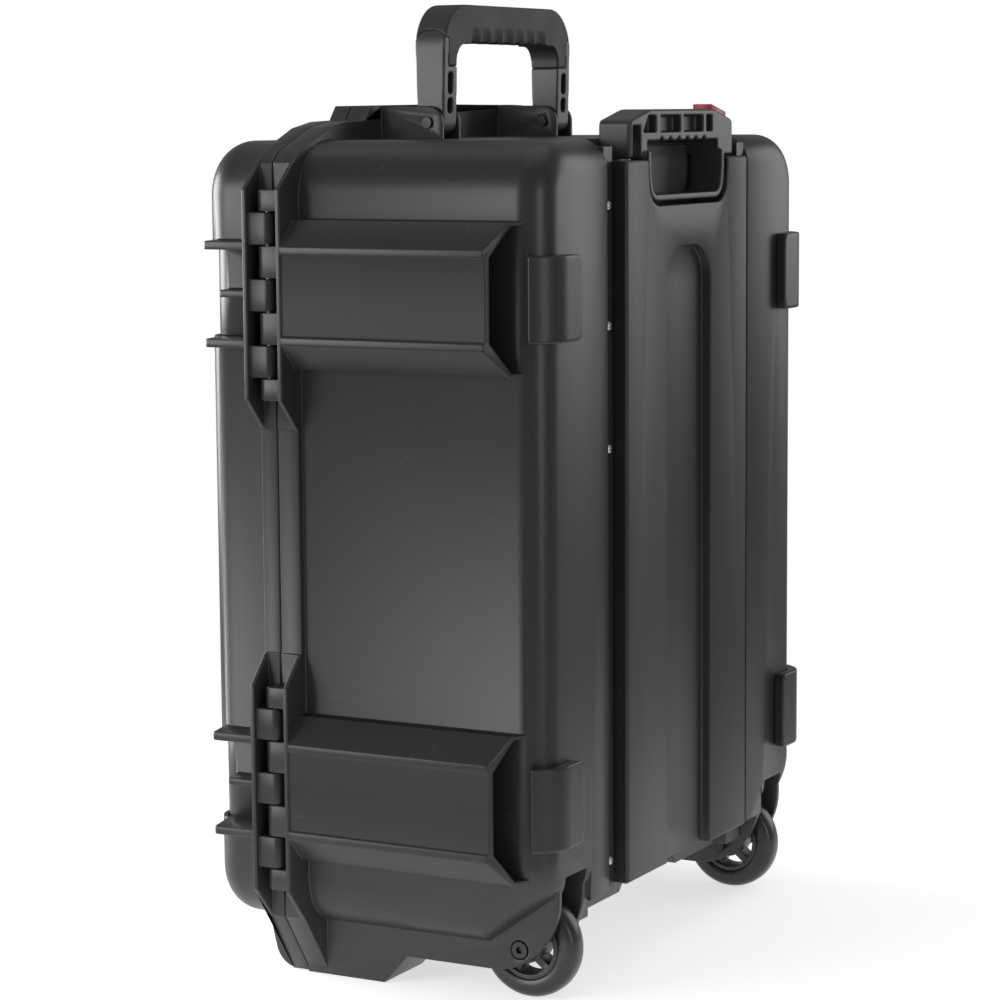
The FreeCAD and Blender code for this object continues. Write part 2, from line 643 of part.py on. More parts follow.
def trolley_screws():
    """Pan-head screws that hold the channel, each in its strip."""
    strip_y = BACK_Y - STRIP_SINK
    found = []
    for x in (strip_x(), -strip_x()):
        for z in screw_heights():
            head = rod("y", strip_y, strip_y + 2.4, x, z, 4.0)
            head = head.fuse(rod("y", strip_y - 12, strip_y, x, z, 2.0))
            head = head.cut(box(x - 2.6, x + 2.6, strip_y + 1.2, strip_y + 3, z - 0.6, z + 0.6))
            found.append(head.cut(box(x - 0.6, x + 0.6, strip_y + 1.2, strip_y + 3, z - 2.6, z + 2.6)))
    return Part.makeCompound(found)


def notch_points(grow, top):
    """Hand notch outline: wide at the open top, rounded at its bottom corners."""
    low = COVER_TOP - NOTCH_DEPTH - grow
    wide = NOTCH_TOP_HALF + grow
    narrow = NOTCH_BOTTOM_HALF + grow
    half = [(narrow, low, NOTCH_R + grow), (wide, COVER_TOP - 8), (wide, top)]
    return half + [(-p[0],) + p[1:] for p in reversed(half)]


def trolley_cover():
    """Deep cover over the tubes, with a centre groove and the hand notch."""
    block = prism("y", CHANNEL_Y, COVER_Y, rectangle(-COVER_HALF, COVER_HALF, COVER_BOTTOM, COVER_TOP))
    block = fillet_where(block, 3.0, lambda e: lies_at("y", COVER_Y)(e))
    inner = COVER_HALF - COVER_T
    room = box(-inner, inner, CHANNEL_Y - 1, COVER_Y - COVER_T, COVER_BOTTOM + COVER_T, COVER_TOP + 1)
    bump = groove(COVER_T, COVER_Y - GROOVE_DEPTH - COVER_T, COVER_Y)
    block = block.cut(room.cut(bump)).cut(groove(0, COVER_Y - GROOVE_DEPTH, COVER_Y + 1))
    return block.cut(prism("y", CHANNEL_Y - 1, COVER_Y + 1, notch_points(0, COVER_TOP + 5)))


def groove(grow, y0, y1):
    half = GROOVE_HALF + grow
    top = BODY_TOP - GROOVE_DROP + grow
    low = COVER_BOTTOM - 1
    arch = half * 0.72
    return prism("y", y0, y1, [(-half, low), (half, low), (half, top, arch), (-half, top, arch)])


def hand_pocket():
    """Cup behind the hand ring that keeps fingers off the tubes."""
    half = TUBE_X - GUIDE_R - POCKET_GAP
    low = COVER_TOP - NOTCH_DEPTH - 8
    high = BODY_TOP - 8
    cup = box(-half, half, CHANNEL_Y, COVER_Y - COVER_T, low, COVER_TOP - 2)
    cup = cup.fuse(box(-half, half, CHANNEL_Y, CHANNEL_Y + POCKET_T, low, high))
    room = box(POCKET_SIDE - half, half - POCKET_SIDE, CHANNEL_Y + POCKET_T, COVER_Y, low + 3, high + 1)
    return cup.cut(room)


def guide_tube(sign):
    return tube("z", GUIDE_BOTTOM, GUIDE_TOP, sign * TUBE_X, TUBE_Y, GUIDE_R, GUIDE_R - GUIDE_WALL)


def guide_bush(sign):
    return tube("z", GUIDE_TOP, GUIDE_TOP + BUSH_H, sign * TUBE_X, TUBE_Y, GUIDE_R, PULL_TUBE_R + RUN)


def pull_tube(sign):
    low = GUIDE_BOTTOM + PLUG_H - 8
    high = HEAD_BOTTOM + 14
    return tube("z", low, high, sign * TUBE_X, TUBE_Y, PULL_TUBE_R, PULL_TUBE_R - PULL_TUBE_WALL)


def pull_plug(sign):
    """End plug that runs in the guide tube."""
    low = GUIDE_BOTTOM + PLUG_H - 8
    shank = rod("z", low, low + 12, sign * TUBE_X, TUBE_Y, PULL_TUBE_R - PULL_TUBE_WALL)
    return shank.fuse(rod("z", low - 8, low, sign * TUBE_X, TUBE_Y, GUIDE_R - GUIDE_WALL - 2 * RUN))


def head_profile():
    out = HEAD_HALF
    half = [(out, HEAD_BOTTOM), (out, HEAD_TOP - HEAD_SLOPE_DROP, 5), (out - HEAD_SLOPE, HEAD_TOP, 25)]
    return half + [(-p[0],) + p[1:] for p in reversed(half)]


def hand_ring():
    """Ring hanging under the head into the cover's notch."""
    return prism("y", HEAD_BACK + 4, COVER_Y - 2, notch_points(-RING_GAP, HEAD_BOTTOM + 6))


def hand_hole():
    inner = notch_points(-RING_GAP - RING_T, GRIP_UNDER)
    return prism("y", HEAD_BACK - 5, COVER_Y + 5, inner)


def pull_head():
    """Handle head: solid grip with open cells in front, hollow for the release bar."""
    block = prism("y", HEAD_BACK, HEAD_FRONT, head_profile())
    block = fillet_where(block, 3.0, lambda e: lies_at("y", HEAD_BACK)(e) or lies_at("y", HEAD_FRONT)(e))
    block = joined([block, hand_ring()]).cut(hand_hole())
    cell_y = HEAD_FRONT - CELL_DEPTH
    for x0, x1 in CELLS:
        slant = max(0, x1 - HEAD_HALF + HEAD_SLOPE) * 0.7
        points = [(x0, GRIP_UNDER + 7), (x1, GRIP_UNDER + 7), (x1 - slant, HEAD_TOP - 5), (x0, HEAD_TOP - 5)]
        block = block.cut(prism("y", cell_y, HEAD_FRONT + 1, points))
    arm_cell = box(HEAD_HALF - 20, HEAD_HALF - 4, cell_y, HEAD_FRONT + 1, HEAD_BOTTOM - 1, HEAD_TOP - 13)
    block = block.cut(arm_cell)
    for step in range(GRIP_LOBES):
        x = (step - (GRIP_LOBES - 1) / 2) * LOBE_PITCH
        block = block.cut(rod("y", HEAD_BACK - 1, HEAD_FRONT + 1, x, GRIP_UNDER - 1.5, LOBE_R))
    reach = TUBE_X + 6
    bar = box(-reach, reach, TUBE_Y - 5, TUBE_Y + 5, BAR_LOW - BUTTON_TRAVEL - 1, BAR_LOW + BAR_H + 1)
    block = block.cut(bar).cut(button_solid(CLEAR, -BUTTON_TRAVEL - 1, 20))
    for sign in (1, -1):
        block = block.cut(rod("z", HEAD_BOTTOM - 1, HEAD_BOTTOM + 14, sign * TUBE_X, TUBE_Y, PULL_TUBE_R))
        block = block.cut(rod("z", HEAD_BOTTOM, BAR_LOW, sign * TUBE_X, TUBE_Y, ROD_R + 1))
    return block


def button_solid(grow, down, up):
    """Button over the head's shoulder; grown and stretched, it is also its own pocket."""
    x0 = BUTTON_OUTER - HEAD_HALF - grow
    x1 = x0 + BUTTON_L + 2 * grow
    top = HEAD_TOP + BUTTON_PROUD + up
    low = BAR_LOW + BAR_H + down
    flat = HEAD_SLOPE - HEAD_HALF
    falls = [(flat - x) * HEAD_SLOPE_DROP / HEAD_SLOPE for x in (x0, x1)]
    points = [(x0, low), (x1, low), (x1, top - falls[1]), (x0, top - falls[0])]
    return prism("y", TUBE_Y - BUTTON_BACK - grow, TUBE_Y + BUTTON_FRONT + grow, points)


def release_button():
    button = button_solid(0, 0, 0)
    return fillet_where(button, 1.0, lambda e: e.BoundBox.ZMin > BAR_LOW + BAR_H + 2)


def release_bar():
    """Bar inside the head, with a rod down each pull tube."""
    parts = [box(-TUBE_X - 4, TUBE_X + 4, TUBE_Y - 4, TUBE_Y + 4, BAR_LOW, BAR_LOW + BAR_H)]
    for sign in (1, -1):
        parts.append(rod("z", GUIDE_BOTTOM + PLUG_H + 20, BAR_LOW + 1, sign * TUBE_X, TUBE_Y, ROD_R))
    return joined(parts)


# ---- carry handles -------------------------------------------------------------------------
def handle_outline(trim, low):
    """U shape seen along Y, in from the outer faces by trim; rounded at the shoulders."""
    pivot_z = BODY_TOP + PIVOT_RISE
    out = HANDLE_HALF - trim
    inn = HANDLE_HALF - HANDLE_ARM + trim
    top = pivot_z + HANDLE_LENGTH - trim
    bar = pivot_z + HANDLE_LENGTH - GRIP_BAR + trim
    corner = HANDLE_SHOULDER_R - trim
    return [(-out, low), (-out, top, corner), (out, top, corner), (out, low),
            (inn, low), (inn, bar, 14 + trim), (-inn, bar, 14 + trim), (-inn, low)]


def handle_sides(trim):
    """Side view of the handle: narrow at the pivot, wider at the grip."""
    pivot_y = PART_Y + TOP_PIVOT_BACK
    pivot_z = BODY_TOP + PIVOT_RISE
    low = HANDLE_EYE / 2 - trim
    wide = HANDLE_DEPTH / 2 - trim
    shoulder = pivot_z + HANDLE_LENGTH - CHEEK_DROP
    top = pivot_z + HANDLE_LENGTH + 1
    half = [(low, pivot_z), (wide, shoulder), (wide, top)]
    points = [(pivot_y + y, z) for y, z in half] + [(pivot_y - y, z) for y, z in reversed(half)]
    return prism("x", -HANDLE_HALF, HANDLE_HALF, points)


def handle_u(trim, low):
    pivot_y = PART_Y + TOP_PIVOT_BACK
    half = HANDLE_DEPTH / 2
    return prism("y", pivot_y - half, pivot_y + half, handle_outline(trim, low)).common(handle_sides(trim))


def arm_cheeks():
    """Outer cheek of each arm, which runs up beside the rubber to an arched top."""
    pivot_y = PART_Y + TOP_PIVOT_BACK
    pivot_z = BODY_TOP + PIVOT_RISE
    half = HANDLE_DEPTH / 2 + 1
    top = pivot_z + HANDLE_LENGTH - CHEEK_DROP
    low = pivot_z + GRIP_REACH - 1
    front = pivot_y - half
    back = pivot_y + half
    points = [(front, low), (back, low), (back, top, 12), (front, top, 12)]
    zone = prism("x", HANDLE_HALF - GRIP_CHEEK, HANDLE_HALF + 1, points)
    return Part.makeCompound([handle_u(0, low).common(on_side(zone, sign)) for sign in (1, -1)])


def handle_frame():
    """Both arms with their outer cheeks, and the core of the bar, standing up from the top pivots."""
    pivot_y = PART_Y + TOP_PIVOT_BACK
    pivot_z = BODY_TOP + PIVOT_RISE
    split = pivot_z + GRIP_REACH
    below = box(-HANDLE_HALF, HANDLE_HALF, pivot_y - 50, pivot_y + 50, pivot_z - 1, split)
    arms = handle_u(0, pivot_z).common(below)
    frame = arms.fuse([handle_u(GRIP_SKIN, split - 1), arm_cheeks()])
    for sign in (1, -1):
        eye = rod("x", HANDLE_HALF - HANDLE_ARM, HANDLE_HALF, pivot_y, pivot_z, HANDLE_EYE / 2)
        frame = frame.fuse(on_side(eye, sign))
    frame = frame.removeSplitter()
    frame = frame.cut(rod("x", -HANDLE_HALF - 1, HANDLE_HALF + 1, pivot_y, pivot_z, HANDLE_PIN_R + RUN))
    return frame.cut(arm_slots())


def arm_slots():
    """Blind oval slots in the back edge of each arm."""
    pivot_y = PART_Y + TOP_PIVOT_BACK
    pivot_z = BODY_TOP + PIVOT_RISE
    mid = HANDLE_HALF - HANDLE_ARM / 2
    found = []
    for low, high in ((8, 20), (24, 42)):
        points = rectangle(mid - 4, mid + 4, pivot_z + low, pivot_z + high)
        slot = prism("y", pivot_y + HANDLE_EYE / 2 - 9, pivot_y + HANDLE_DEPTH, points, 3.5)
        found += [on_side(slot, sign) for sign in (1, -1)]
    return Part.makeCompound(found)


def handle_grip():
    """Rubber over the bar and the inner sides of the arms, with slanted finger grooves underneath."""
    pivot_z = BODY_TOP + PIVOT_RISE
    pivot_y = PART_Y + TOP_PIVOT_BACK
    split = pivot_z + GRIP_REACH
    grip = handle_u(0, split)
    grip = grip.cut(handle_u(GRIP_SKIN, split - 1)).cut(arm_cheeks())
    under = pivot_z + HANDLE_LENGTH - GRIP_BAR
    for step in range(GRIP_GROOVES):
        cut = box(-1.2, 1.2, -HANDLE_DEPTH, HANDLE_DEPTH, -1.5, 1.5)
        cut.rotate(FreeCAD.Vector(), FreeCAD.Vector(0, 0, 1), GROOVE_LEAN)
        x = (step - (GRIP_GROOVES - 1) / 2) * GROOVE_PITCH
        cut.translate(FreeCAD.Vector(x, pivot_y, under))
        grip = grip.cut(cut)
    return grip


def handle_pins():
    """Screws with rounded heads through the ears and arms."""
    pivot_z = BODY_TOP + PIVOT_RISE
    pivot_y = PART_Y + TOP_PIVOT_BACK
    start = HANDLE_HALF - HANDLE_ARM - EAR_GAP - EAR_T
    end = HANDLE_HALF + EAR_GAP + EAR_T
    found = []
    for sign in (1, -1):
        pin = rod("x", start, end + 0.5, pivot_y, pivot_z, HANDLE_PIN_R)
        pin = pin.fuse(rod("x", end, end + 2, pivot_y, pivot_z, HANDLE_PIN_R + 1.5))
        pin = pin.fuse(rod("x", start - 2, start, pivot_y, pivot_z, HANDLE_PIN_R + 1.5))
        found.append(on_side(pin, sign))
    return Part.makeCompound(found)


# ---- wheels --------------------------------------------------------------------------------
def tyre():
    """Skate-type tyre: flat sides, well-rounded tread."""
    half = WHEEL_W / 2
    bead = HUB_R
    points = [(-half, bead), (half, bead), (half, WHEEL_R - 9, 3), (half - 4, WHEEL_R, 7),
              (4 - half, WHEEL_R, 7), (-half, WHEEL_R - 9, 3)]
    face = outline("y", 0, points)
    return face.revolve(FreeCAD.Vector(), FreeCAD.Vector(1, 0, 0), 360)


def hub():
    """Spoked hub with a bearing seat in each side."""
    half = WHEEL_W / 2 - 1
    rim = tube("x", -half, half, 0, 0, HUB_R, HUB_R - 4)
    boss = rod("x", -half, half, 0, 0, BEARING_R + HUB_WALL)
    parts = [rim, boss]
    for step in range(SPOKES):
        spoke = box(-half + 3, half - 3, -3.5, 3.5, BEARING_R, HUB_R - 2)
        spoke.rotate(FreeCAD.Vector(0, 0, BEARING_R), FreeCAD.Vector(1, 0, 0), SPOKE_LEAN)
        spoke.rotate(FreeCAD.Vector(), FreeCAD.Vector(1, 0, 0), 360 * step / SPOKES)
        parts.append(spoke)
    solid = joined(parts)
    solid = solid.cut(rod("x", half - BEARING_W, half + 1, 0, 0, BEARING_R))
    solid = solid.cut(rod("x", -half - 1, -half + BEARING_W, 0, 0, BEARING_R))
    return solid.cut(rod("x", -half, half, 0, 0, BEARING_R - 2))


def bearings():
    half = WHEEL_W / 2 - 1
    return Part.makeCompound([tube("x", start, start + BEARING_W, 0, 0, BEARING_R, AXLE_R + RUN)
                              for start in (-half, half - BEARING_W)])


def spacer():
    half = WHEEL_W / 2 - 1 - BEARING_W
    return tube("x", -half, half, 0, 0, AXLE_R + 2.5, AXLE_R + RUN)


def axle(sign):
    """Socket-head axle screw with its nut on the inner wall of the well."""
    bolt = rod("x", SKIRT_INNER - 5, CHEEK_X - AXLE_HEAD_T, WHEEL_Y, WHEEL_R, AXLE_R)
    head = rod("x", CHEEK_X - AXLE_HEAD_T, CHEEK_X, WHEEL_Y, WHEEL_R, AXLE_HEAD_R)
    turns = [math.radians(60 * i) for i in range(6)]
    hexagon = [(WHEEL_Y + 3.4 * math.cos(a), WHEEL_R + 3.4 * math.sin(a)) for a in turns]
    head = head.cut(prism("x", CHEEK_X - 3, CHEEK_X + 1, hexagon))
    reach = WHEEL_W / 2 - 1 + CLEAR
    spans = [(WELL_INNER, WHEEL_X - reach), (WHEEL_X + reach, WELL_OUTER)]
    shoulders = [tube("x", low, high, WHEEL_Y, WHEEL_R, AXLE_R + 2.5, AXLE_R) for low, high in spans]
    return on_side(joined([bolt, head] + shoulders), sign)


def at_wheel(shape, sign):
    moved = shape.copy()
    moved.translate(FreeCAD.Vector(sign * WHEEL_X, WHEEL_Y, WHEEL_R))
    return moved


# ---- lid -----------------------------------------------------------------------------------
def lid_block(inset, back):
    half = HALF - inset
    front = FRONT_Y + inset
    points = rectangle(-half, half, BODY_BOTTOM + inset, BODY_TOP - inset)
    return fillet_where(prism("y", front, back, points, END_R - inset), LID_R - inset, lies_at("y", front))


def lid_relief(inset):
    """The lid's hinge-side corner between the big fins, outside a block moved in by inset."""
    block = lid_block(inset, LID_EDGE + 2)
    half = FIN_SPACING - FIN_T / 2
    bands = [box(HALF - 70, HALF + 1, FRONT_Y - 1, LID_RIM_Y, z - half, z + half) for z in STATIONS.values()]
    return Part.makeCompound([band.cut(block) for band in bands])


def lid_fins(z):
    """Two wide fins in line with the gusset rails and a smaller rib between them."""
    reach = HALF + FLANGE_REACH - 2
    root = HALF - RELIEF - 2
    end = PART_Y - FIN_LENGTH
    wide = [(root, LID_RIM_Y + 2), (reach, LID_RIM_Y + 2), (reach, end, 4), (root, end - 8)]
    small_end = end + 7
    narrow = [(root, LID_RIM_Y + 2), (HALF + MIDDLE_RIB_REACH, LID_RIM_Y + 2),
              (HALF + MIDDLE_RIB_REACH, small_end, 4), (root, small_end - 6)]
    fins = [prism("z", z + dz - FIN_T / 2, z + dz + FIN_T / 2, wide) for dz in (-FIN_SPACING, FIN_SPACING)]
    return fins + [prism("z", z - FIN_T / 2 + 0.5, z + FIN_T / 2 - 0.5, narrow)]


def latch_lugs(z):
    found = []
    for z0 in (z - LATCH_HALF - CLEAR - 5, z + LATCH_HALF + CLEAR):
        lug = rod("z", z0, z0 + 5, -LATCH_X, LATCH_Y, LATCH_BARREL_R)
        front = LATCH_Y - LATCH_BARREL_R
        lug = lug.fuse(box(-LATCH_X, -HALF + 2, front, LATCH_Y + LATCH_BARREL_R, z0, z0 + 5))
        found.append(lug.cut(rod("z", z0 - 1, z0 + 6, -LATCH_X, LATCH_Y, LATCH_PIN_R)))
    return found


def lid_foot(sign):
    """Foot under the lid's side of the flange, curving up to the lid front."""
    side = [(LID_EDGE, 0), (LID_EDGE - 29, 0, 22), (LID_EDGE - 40, BODY_BOTTOM),
            (LID_EDGE - 42, BODY_BOTTOM + 20), (LID_EDGE, BODY_BOTTOM + 20)]
    outer = HALF - FLANGE_FOOT_INSET
    return on_side(prism("x", outer - FOOT_W, outer, side), sign)


def gasket_loop(y0, y1, reach):
    """Rounded block whose sides stand this far outside the body's outline."""
    points = rectangle(-HALF - reach, HALF + reach, BODY_BOTTOM - reach, BODY_TOP + reach)
    return prism("y", y0, y1, points, END_R + reach)


def gasket_ring(y0, y1):
    return gasket_loop(y0, y1, GASKET_REACH).cut(gasket_loop(y0 - 1, y1 + 1, GASKET_REACH - GASKET_W))


def lid_shell():
    block = lid_block(0, LID_EDGE).cut(lid_relief(RELIEF))
    parts = [block, flange(LID_RIM_Y, LID_EDGE, LID_RIM_Y, LID_RIM_Y + RIM_PLATE)]
    parts += [lid_foot(s) for s in (1, -1)]
    for z in STATIONS.values():
        parts += lid_fins(z)
    for z in LATCH_STATIONS.values():
        parts += latch_lugs(z)
    parts += [padlock_tab(z, LID_RIM_Y, LID_EDGE) for z in padlock_heights()]
    room = lid_block(WALL, LID_EDGE + 1).cut(lid_relief(RELIEF + WALL))
    solid = joined(parts).cut(room)
    solid = joined([solid] + hinge_knuckles(False))
    solid = solid.cut(gasket_ring(LID_EDGE - GASKET_T, LID_EDGE + 1))
    panel = rectangle(-HALF + 75, HALF - 75, BODY_BOTTOM + 75, BODY_TOP - 75)
    solid = solid.cut(prism("y", FRONT_Y - 1, FRONT_Y + 1.5, panel, 20))
    for z in padlock_heights():
        solid = solid.cut(padlock_bore(z))
    return solid


# ---- latches -------------------------------------------------------------------------------
def latch_lever(z):
    """Lever on the lid that reaches over the base's keeper."""
    low = z - LATCH_HALF
    high = z + LATCH_HALF
    inner = -LATCH_FACE + LATCH_T
    end = PART_Y + LATCH_LENGTH
    face = [(-LATCH_FACE, LATCH_Y - 8, 3), (inner, LATCH_Y - 8), (inner, end), (-LATCH_FACE, end, 3)]
    plate = prism("z", low, high, face)
    arm = box(inner - 1, -LATCH_X, LATCH_Y - LATCH_BARREL_R, LATCH_Y + LATCH_BARREL_R, low, high)
    barrel = rod("z", low, high, -LATCH_X, LATCH_Y, LATCH_BARREL_R)
    hook = box(inner - 1, -HALF - KEEPER_REACH - 1, BASE_RIM_Y + 1.5, end, low + 6, high - 6)
    lever = joined([plate, arm, barrel, hook])
    lever = lever.cut(rod("z", low - 1, high + 1, -LATCH_X, LATCH_Y, LATCH_PIN_R + RUN))
    y0 = trigger_start()
    return lever.cut(box(-LATCH_FACE - 1, inner + 1, y0 - CLEAR, y0 + TRIGGER_L + CLEAR,
                         z - TRIGGER_HALF - CLEAR, z + TRIGGER_HALF + CLEAR))


def trigger_start():
    return PART_Y - 4


def latch_trigger(z):
    """Push button in the lever's window."""
    y0 = trigger_start()
    outer = -LATCH_FACE - TRIGGER_PROUD
    block = box(outer, -LATCH_FACE + LATCH_T - 1, y0, y0 + TRIGGER_L, z - TRIGGER_HALF, z + TRIGGER_HALF)
    return fillet_where(block, 1.0, lies_at("x", outer))


def latch_pin(z):
    reach = LATCH_HALF + CLEAR + 5
    return rod("z", z - reach, z + reach, -LATCH_X, LATCH_Y, LATCH_PIN_R)


# ---- foam ----------------------------------------------------------------------------------
def foam_split_y():
    return BASE_EDGE + LID_PRESS + POCKET_DEPTH


def foam_room(y0, y1):
    room = base_cavity(WALL + FOAM_GAP).common(box(-HALF, HALF, y0, y1, 0, BODY_TOP))
    return room.cut(rod("x", -HALF, -HALF + WALL + 6, valve_y(), MID_Z, VALVE_R - 3))


def pocket_outlines():
    """Pockets seen from the lid: the drone's cross, its controller and four batteries."""
    drone_z = MID_Z + DRONE_RISE
    low = MID_Z - GEAR_DROP
    body = rectangle(-DRONE_HALF, DRONE_HALF, drone_z - DRONE_HALF, drone_z + DRONE_HALF)
    pockets = [prism("y", 0, 1, body, 30)]
    for angle in (45, -45):
        arm = prism("y", 0, 1, rectangle(-ARM_REACH, ARM_REACH, -ARM_HALF, ARM_HALF), 30)
        arm.rotate(FreeCAD.Vector(), FreeCAD.Vector(0, 1, 0), angle)
        arm.translate(FreeCAD.Vector(0, 0, drone_z))
        pockets.append(arm)
    cross = [joined(pockets)]
    controller = prism("y", 0, 1, rectangle(-205, -25, low - 70, low + 60), 20)
    places = [(x, z) for x in (15, 115) for z in (low - 70, low + 5)]
    batteries = [prism("y", 0, 1, rectangle(x, x + 80, z, z + 55), 8) for x, z in places]
    return cross + [controller] + batteries


def foam_insert(z0, z1):
    """Cut foam as deep as the pockets, between two heights."""
    y0 = BASE_EDGE + LID_PRESS
    block = foam_room(y0, foam_split_y()).common(box(-HALF, HALF, y0, foam_split_y(), z0, z1))
    for pocket in pocket_outlines():
        stretched = pocket.transformGeometry(stretch_y(POCKET_DEPTH + 4))
        stretched.translate(FreeCAD.Vector(0, y0 - 2, 0))
        block = block.cut(stretched)
    return block


def stretch_y(factor):
    matrix = FreeCAD.Matrix()
    matrix.scale(1, factor, 1)
    return matrix


def foam_floor():
    return foam_room(foam_split_y(), BACK_Y)


def lid_foam():
    inset = WALL + FOAM_GAP
    return lid_block(inset, LID_EDGE - 2).cut(lid_relief(RELIEF + inset))


# ---- build ---------------------------------------------------------------------------------
def build():
    os.makedirs("parts", exist_ok=True)
    save("base_shell", base_shell())
    save("trolley_housing", trolley_housing())
    save("trolley_cover", trolley_cover())
    save("trolley_screws", trolley_screws())
    save("hand_pocket", hand_pocket())
    for side, sign in SIDES.items():
        save("guide_tube_" + side, guide_tube(sign))
        save("guide_bush_" + side, guide_bush(sign))
        save("pull_tube_" + side, pull_tube(sign))
        save("pull_plug_" + side, pull_plug(sign))
        save("axle_" + side, axle(sign))
        save("tyre_" + side, at_wheel(tyre(), sign))
        save("hub_" + side, at_wheel(hub(), sign))
        save("bearings_" + side, at_wheel(bearings(), sign))
        save("wheel_spacer_" + side, at_wheel(spacer(), sign))
        for level, z in STATIONS.items():
            save("back_pad_" + side + "_" + level, back_pad(sign, z))
    save("pull_head", pull_head())
    save("release_button", release_button())
    save("release_bar", release_bar())
    save("top_handle_frame", handle_frame())
    save("top_handle_grip", handle_grip())
    save("top_handle_pins", handle_pins())
    save("side_handle_frame", fold_side_handle(handle_frame()))
    save("side_handle_grip", fold_side_handle(handle_grip()))
    save("side_handle_pins", to_latch_side(handle_pins()))
    for level, z in STATIONS.items():
        save("hinge_pin_" + level, rod("z", z - ZONE_HALF, z + ZONE_HALF, HINGE_X, HINGE_Y, HINGE_PIN_R))
    for level, z in LATCH_STATIONS.items():
        save("latch_lever_" + level, latch_lever(z))
        save("latch_trigger_" + level, latch_trigger(z))
        save("latch_pin_" + level, latch_pin(z))
    save("lid_shell", lid_shell())
    save("lid_gasket", gasket_ring(LID_EDGE - GASKET_T, LID_EDGE))
    save("padlock_sleeves_base", padlock_sleeves(BASE_EDGE, BASE_RIM_Y))
    save("padlock_sleeves_lid", padlock_sleeves(LID_RIM_Y, LID_EDGE))
    save("pressure_valve", pressure_valve())
    save("foam_insert_drone", foam_insert(MID_Z - FOAM_SPLIT, BODY_TOP))
    save("foam_insert_gear", foam_insert(BODY_BOTTOM, MID_Z - FOAM_SPLIT))
    save("foam_floor", foam_floor())
    save("lid_foam", lid_foam())


def fold_side_handle(shape):
    """Takes an upright top-handle piece to the side handle and folds it back along the wall."""
    moved = to_latch_side(shape)
    pivot = FreeCAD.Vector(-HALF - SIDE_PIVOT_RISE, PART_Y + SIDE_PIVOT_BACK, MID_Z)
    moved.rotate(pivot, FreeCAD.Vector(0, 0, 1), -90)
    return moved


build()
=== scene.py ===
import json
import math

import bmesh
import bpy
from mathutils import Matrix, Vector


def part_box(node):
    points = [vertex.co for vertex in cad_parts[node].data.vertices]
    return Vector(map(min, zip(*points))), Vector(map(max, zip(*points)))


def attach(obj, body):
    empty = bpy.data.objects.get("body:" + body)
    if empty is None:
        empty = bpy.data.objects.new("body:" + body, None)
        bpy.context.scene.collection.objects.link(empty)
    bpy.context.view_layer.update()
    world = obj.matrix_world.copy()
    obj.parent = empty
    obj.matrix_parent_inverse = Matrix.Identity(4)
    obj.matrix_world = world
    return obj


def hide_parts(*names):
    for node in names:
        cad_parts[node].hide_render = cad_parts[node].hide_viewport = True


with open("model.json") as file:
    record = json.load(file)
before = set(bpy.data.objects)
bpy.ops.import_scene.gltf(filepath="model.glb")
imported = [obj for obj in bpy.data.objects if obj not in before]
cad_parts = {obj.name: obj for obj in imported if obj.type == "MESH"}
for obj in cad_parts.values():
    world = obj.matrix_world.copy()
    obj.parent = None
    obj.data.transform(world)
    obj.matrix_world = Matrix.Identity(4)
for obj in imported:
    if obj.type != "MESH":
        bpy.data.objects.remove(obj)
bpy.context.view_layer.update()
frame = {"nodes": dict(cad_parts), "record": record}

# Rolling hard case for a drone, upright on its wheels: +Z up, +X hinges, -X latches, -Y lid, +Y pull handle.
MM = 0.001
BODY_OF = {node: body for body, nodes in frame["record"]["behaviour"]["bodies"].items() for node in nodes}
SLOT_OF = {entry["node"]: entry["material_slot"] for entry in frame["record"]["subparts"]}

# ---- camera and light ----------------------------------------------------------------------
CAMERA_AT = (2.3675, 1.2525, 0.7249)
CAMERA_HEADING = 208.286     # degrees from +X, anticlockwise
CAMERA_TILT = -7.2906
CAMERA_ROLL = -0.4156
CAMERA_LENS = 109.8
SENSOR = 36.0
SKY_SEEN = 1.0               # the backdrop as the camera sees it
SKY_LIGHT = 0.27             # the light it gives
LAMP_AIM = (0.0, 0.0, 0.4)
LAMPS = {                    # place, then width and height, in metres, and watts
    "trolley_side": ((-2.8, 1.6, 1.2), (1.8, 1.8), 18),
    "corner_fill": ((1.5, 3.0, 0.8), (0.8, 1.5), 12),
    "hinge_side": ((2.7, -1.7, 0.8), (1.8, 1.6), 44),
    "lid_side": ((0.3, -3.0, 0.8), (1.8, 1.5), 85),
    "overhead": ((-0.2, 0.2, 3.2), (2.4, 2.4), 10),
}
FLOOR_SIZE = 14
FLOOR_SOLID = 0.35           # the floor is whole this far from the case's middle
FLOOR_FADES = 1.2            # the share of it that fades over each metre beyond

# ---- detail sizes --------------------------------------------------------------------------
SIDES = ("hinge_side", "latch_side")
LEVELS = ("upper", "lower")
SCREW_HEAD = 2.4 * MM
TREAD_SHOULDER = 0.76        # where a tyre's tread starts, over its outer radius
TREAD_INNER = 0.635          # where it meets the hub
TREAD_CORNER = 1 * MM        # chamfer where it meets the hub
CRATE_PITCH = 38 * MM        # peaks of the lid foam
CRATE_DEPTH = 18 * MM
FOAM_VOXEL = 3.2 * MM
FINE_VOXEL = 0.9 * MM
PAD_VOXEL = 1.2 * MM
GRIP_UNDER = 33 * MM         # underside of the carry grip below its top
FINGERS = {                  # hollows under the carry grip; Lean is sideways run over depth
    "Pitch": 20 * MM, "Lean": 0.53, "Height": 14 * MM, "Reach": 70 * MM, "Depth": 3.2 * MM,
}


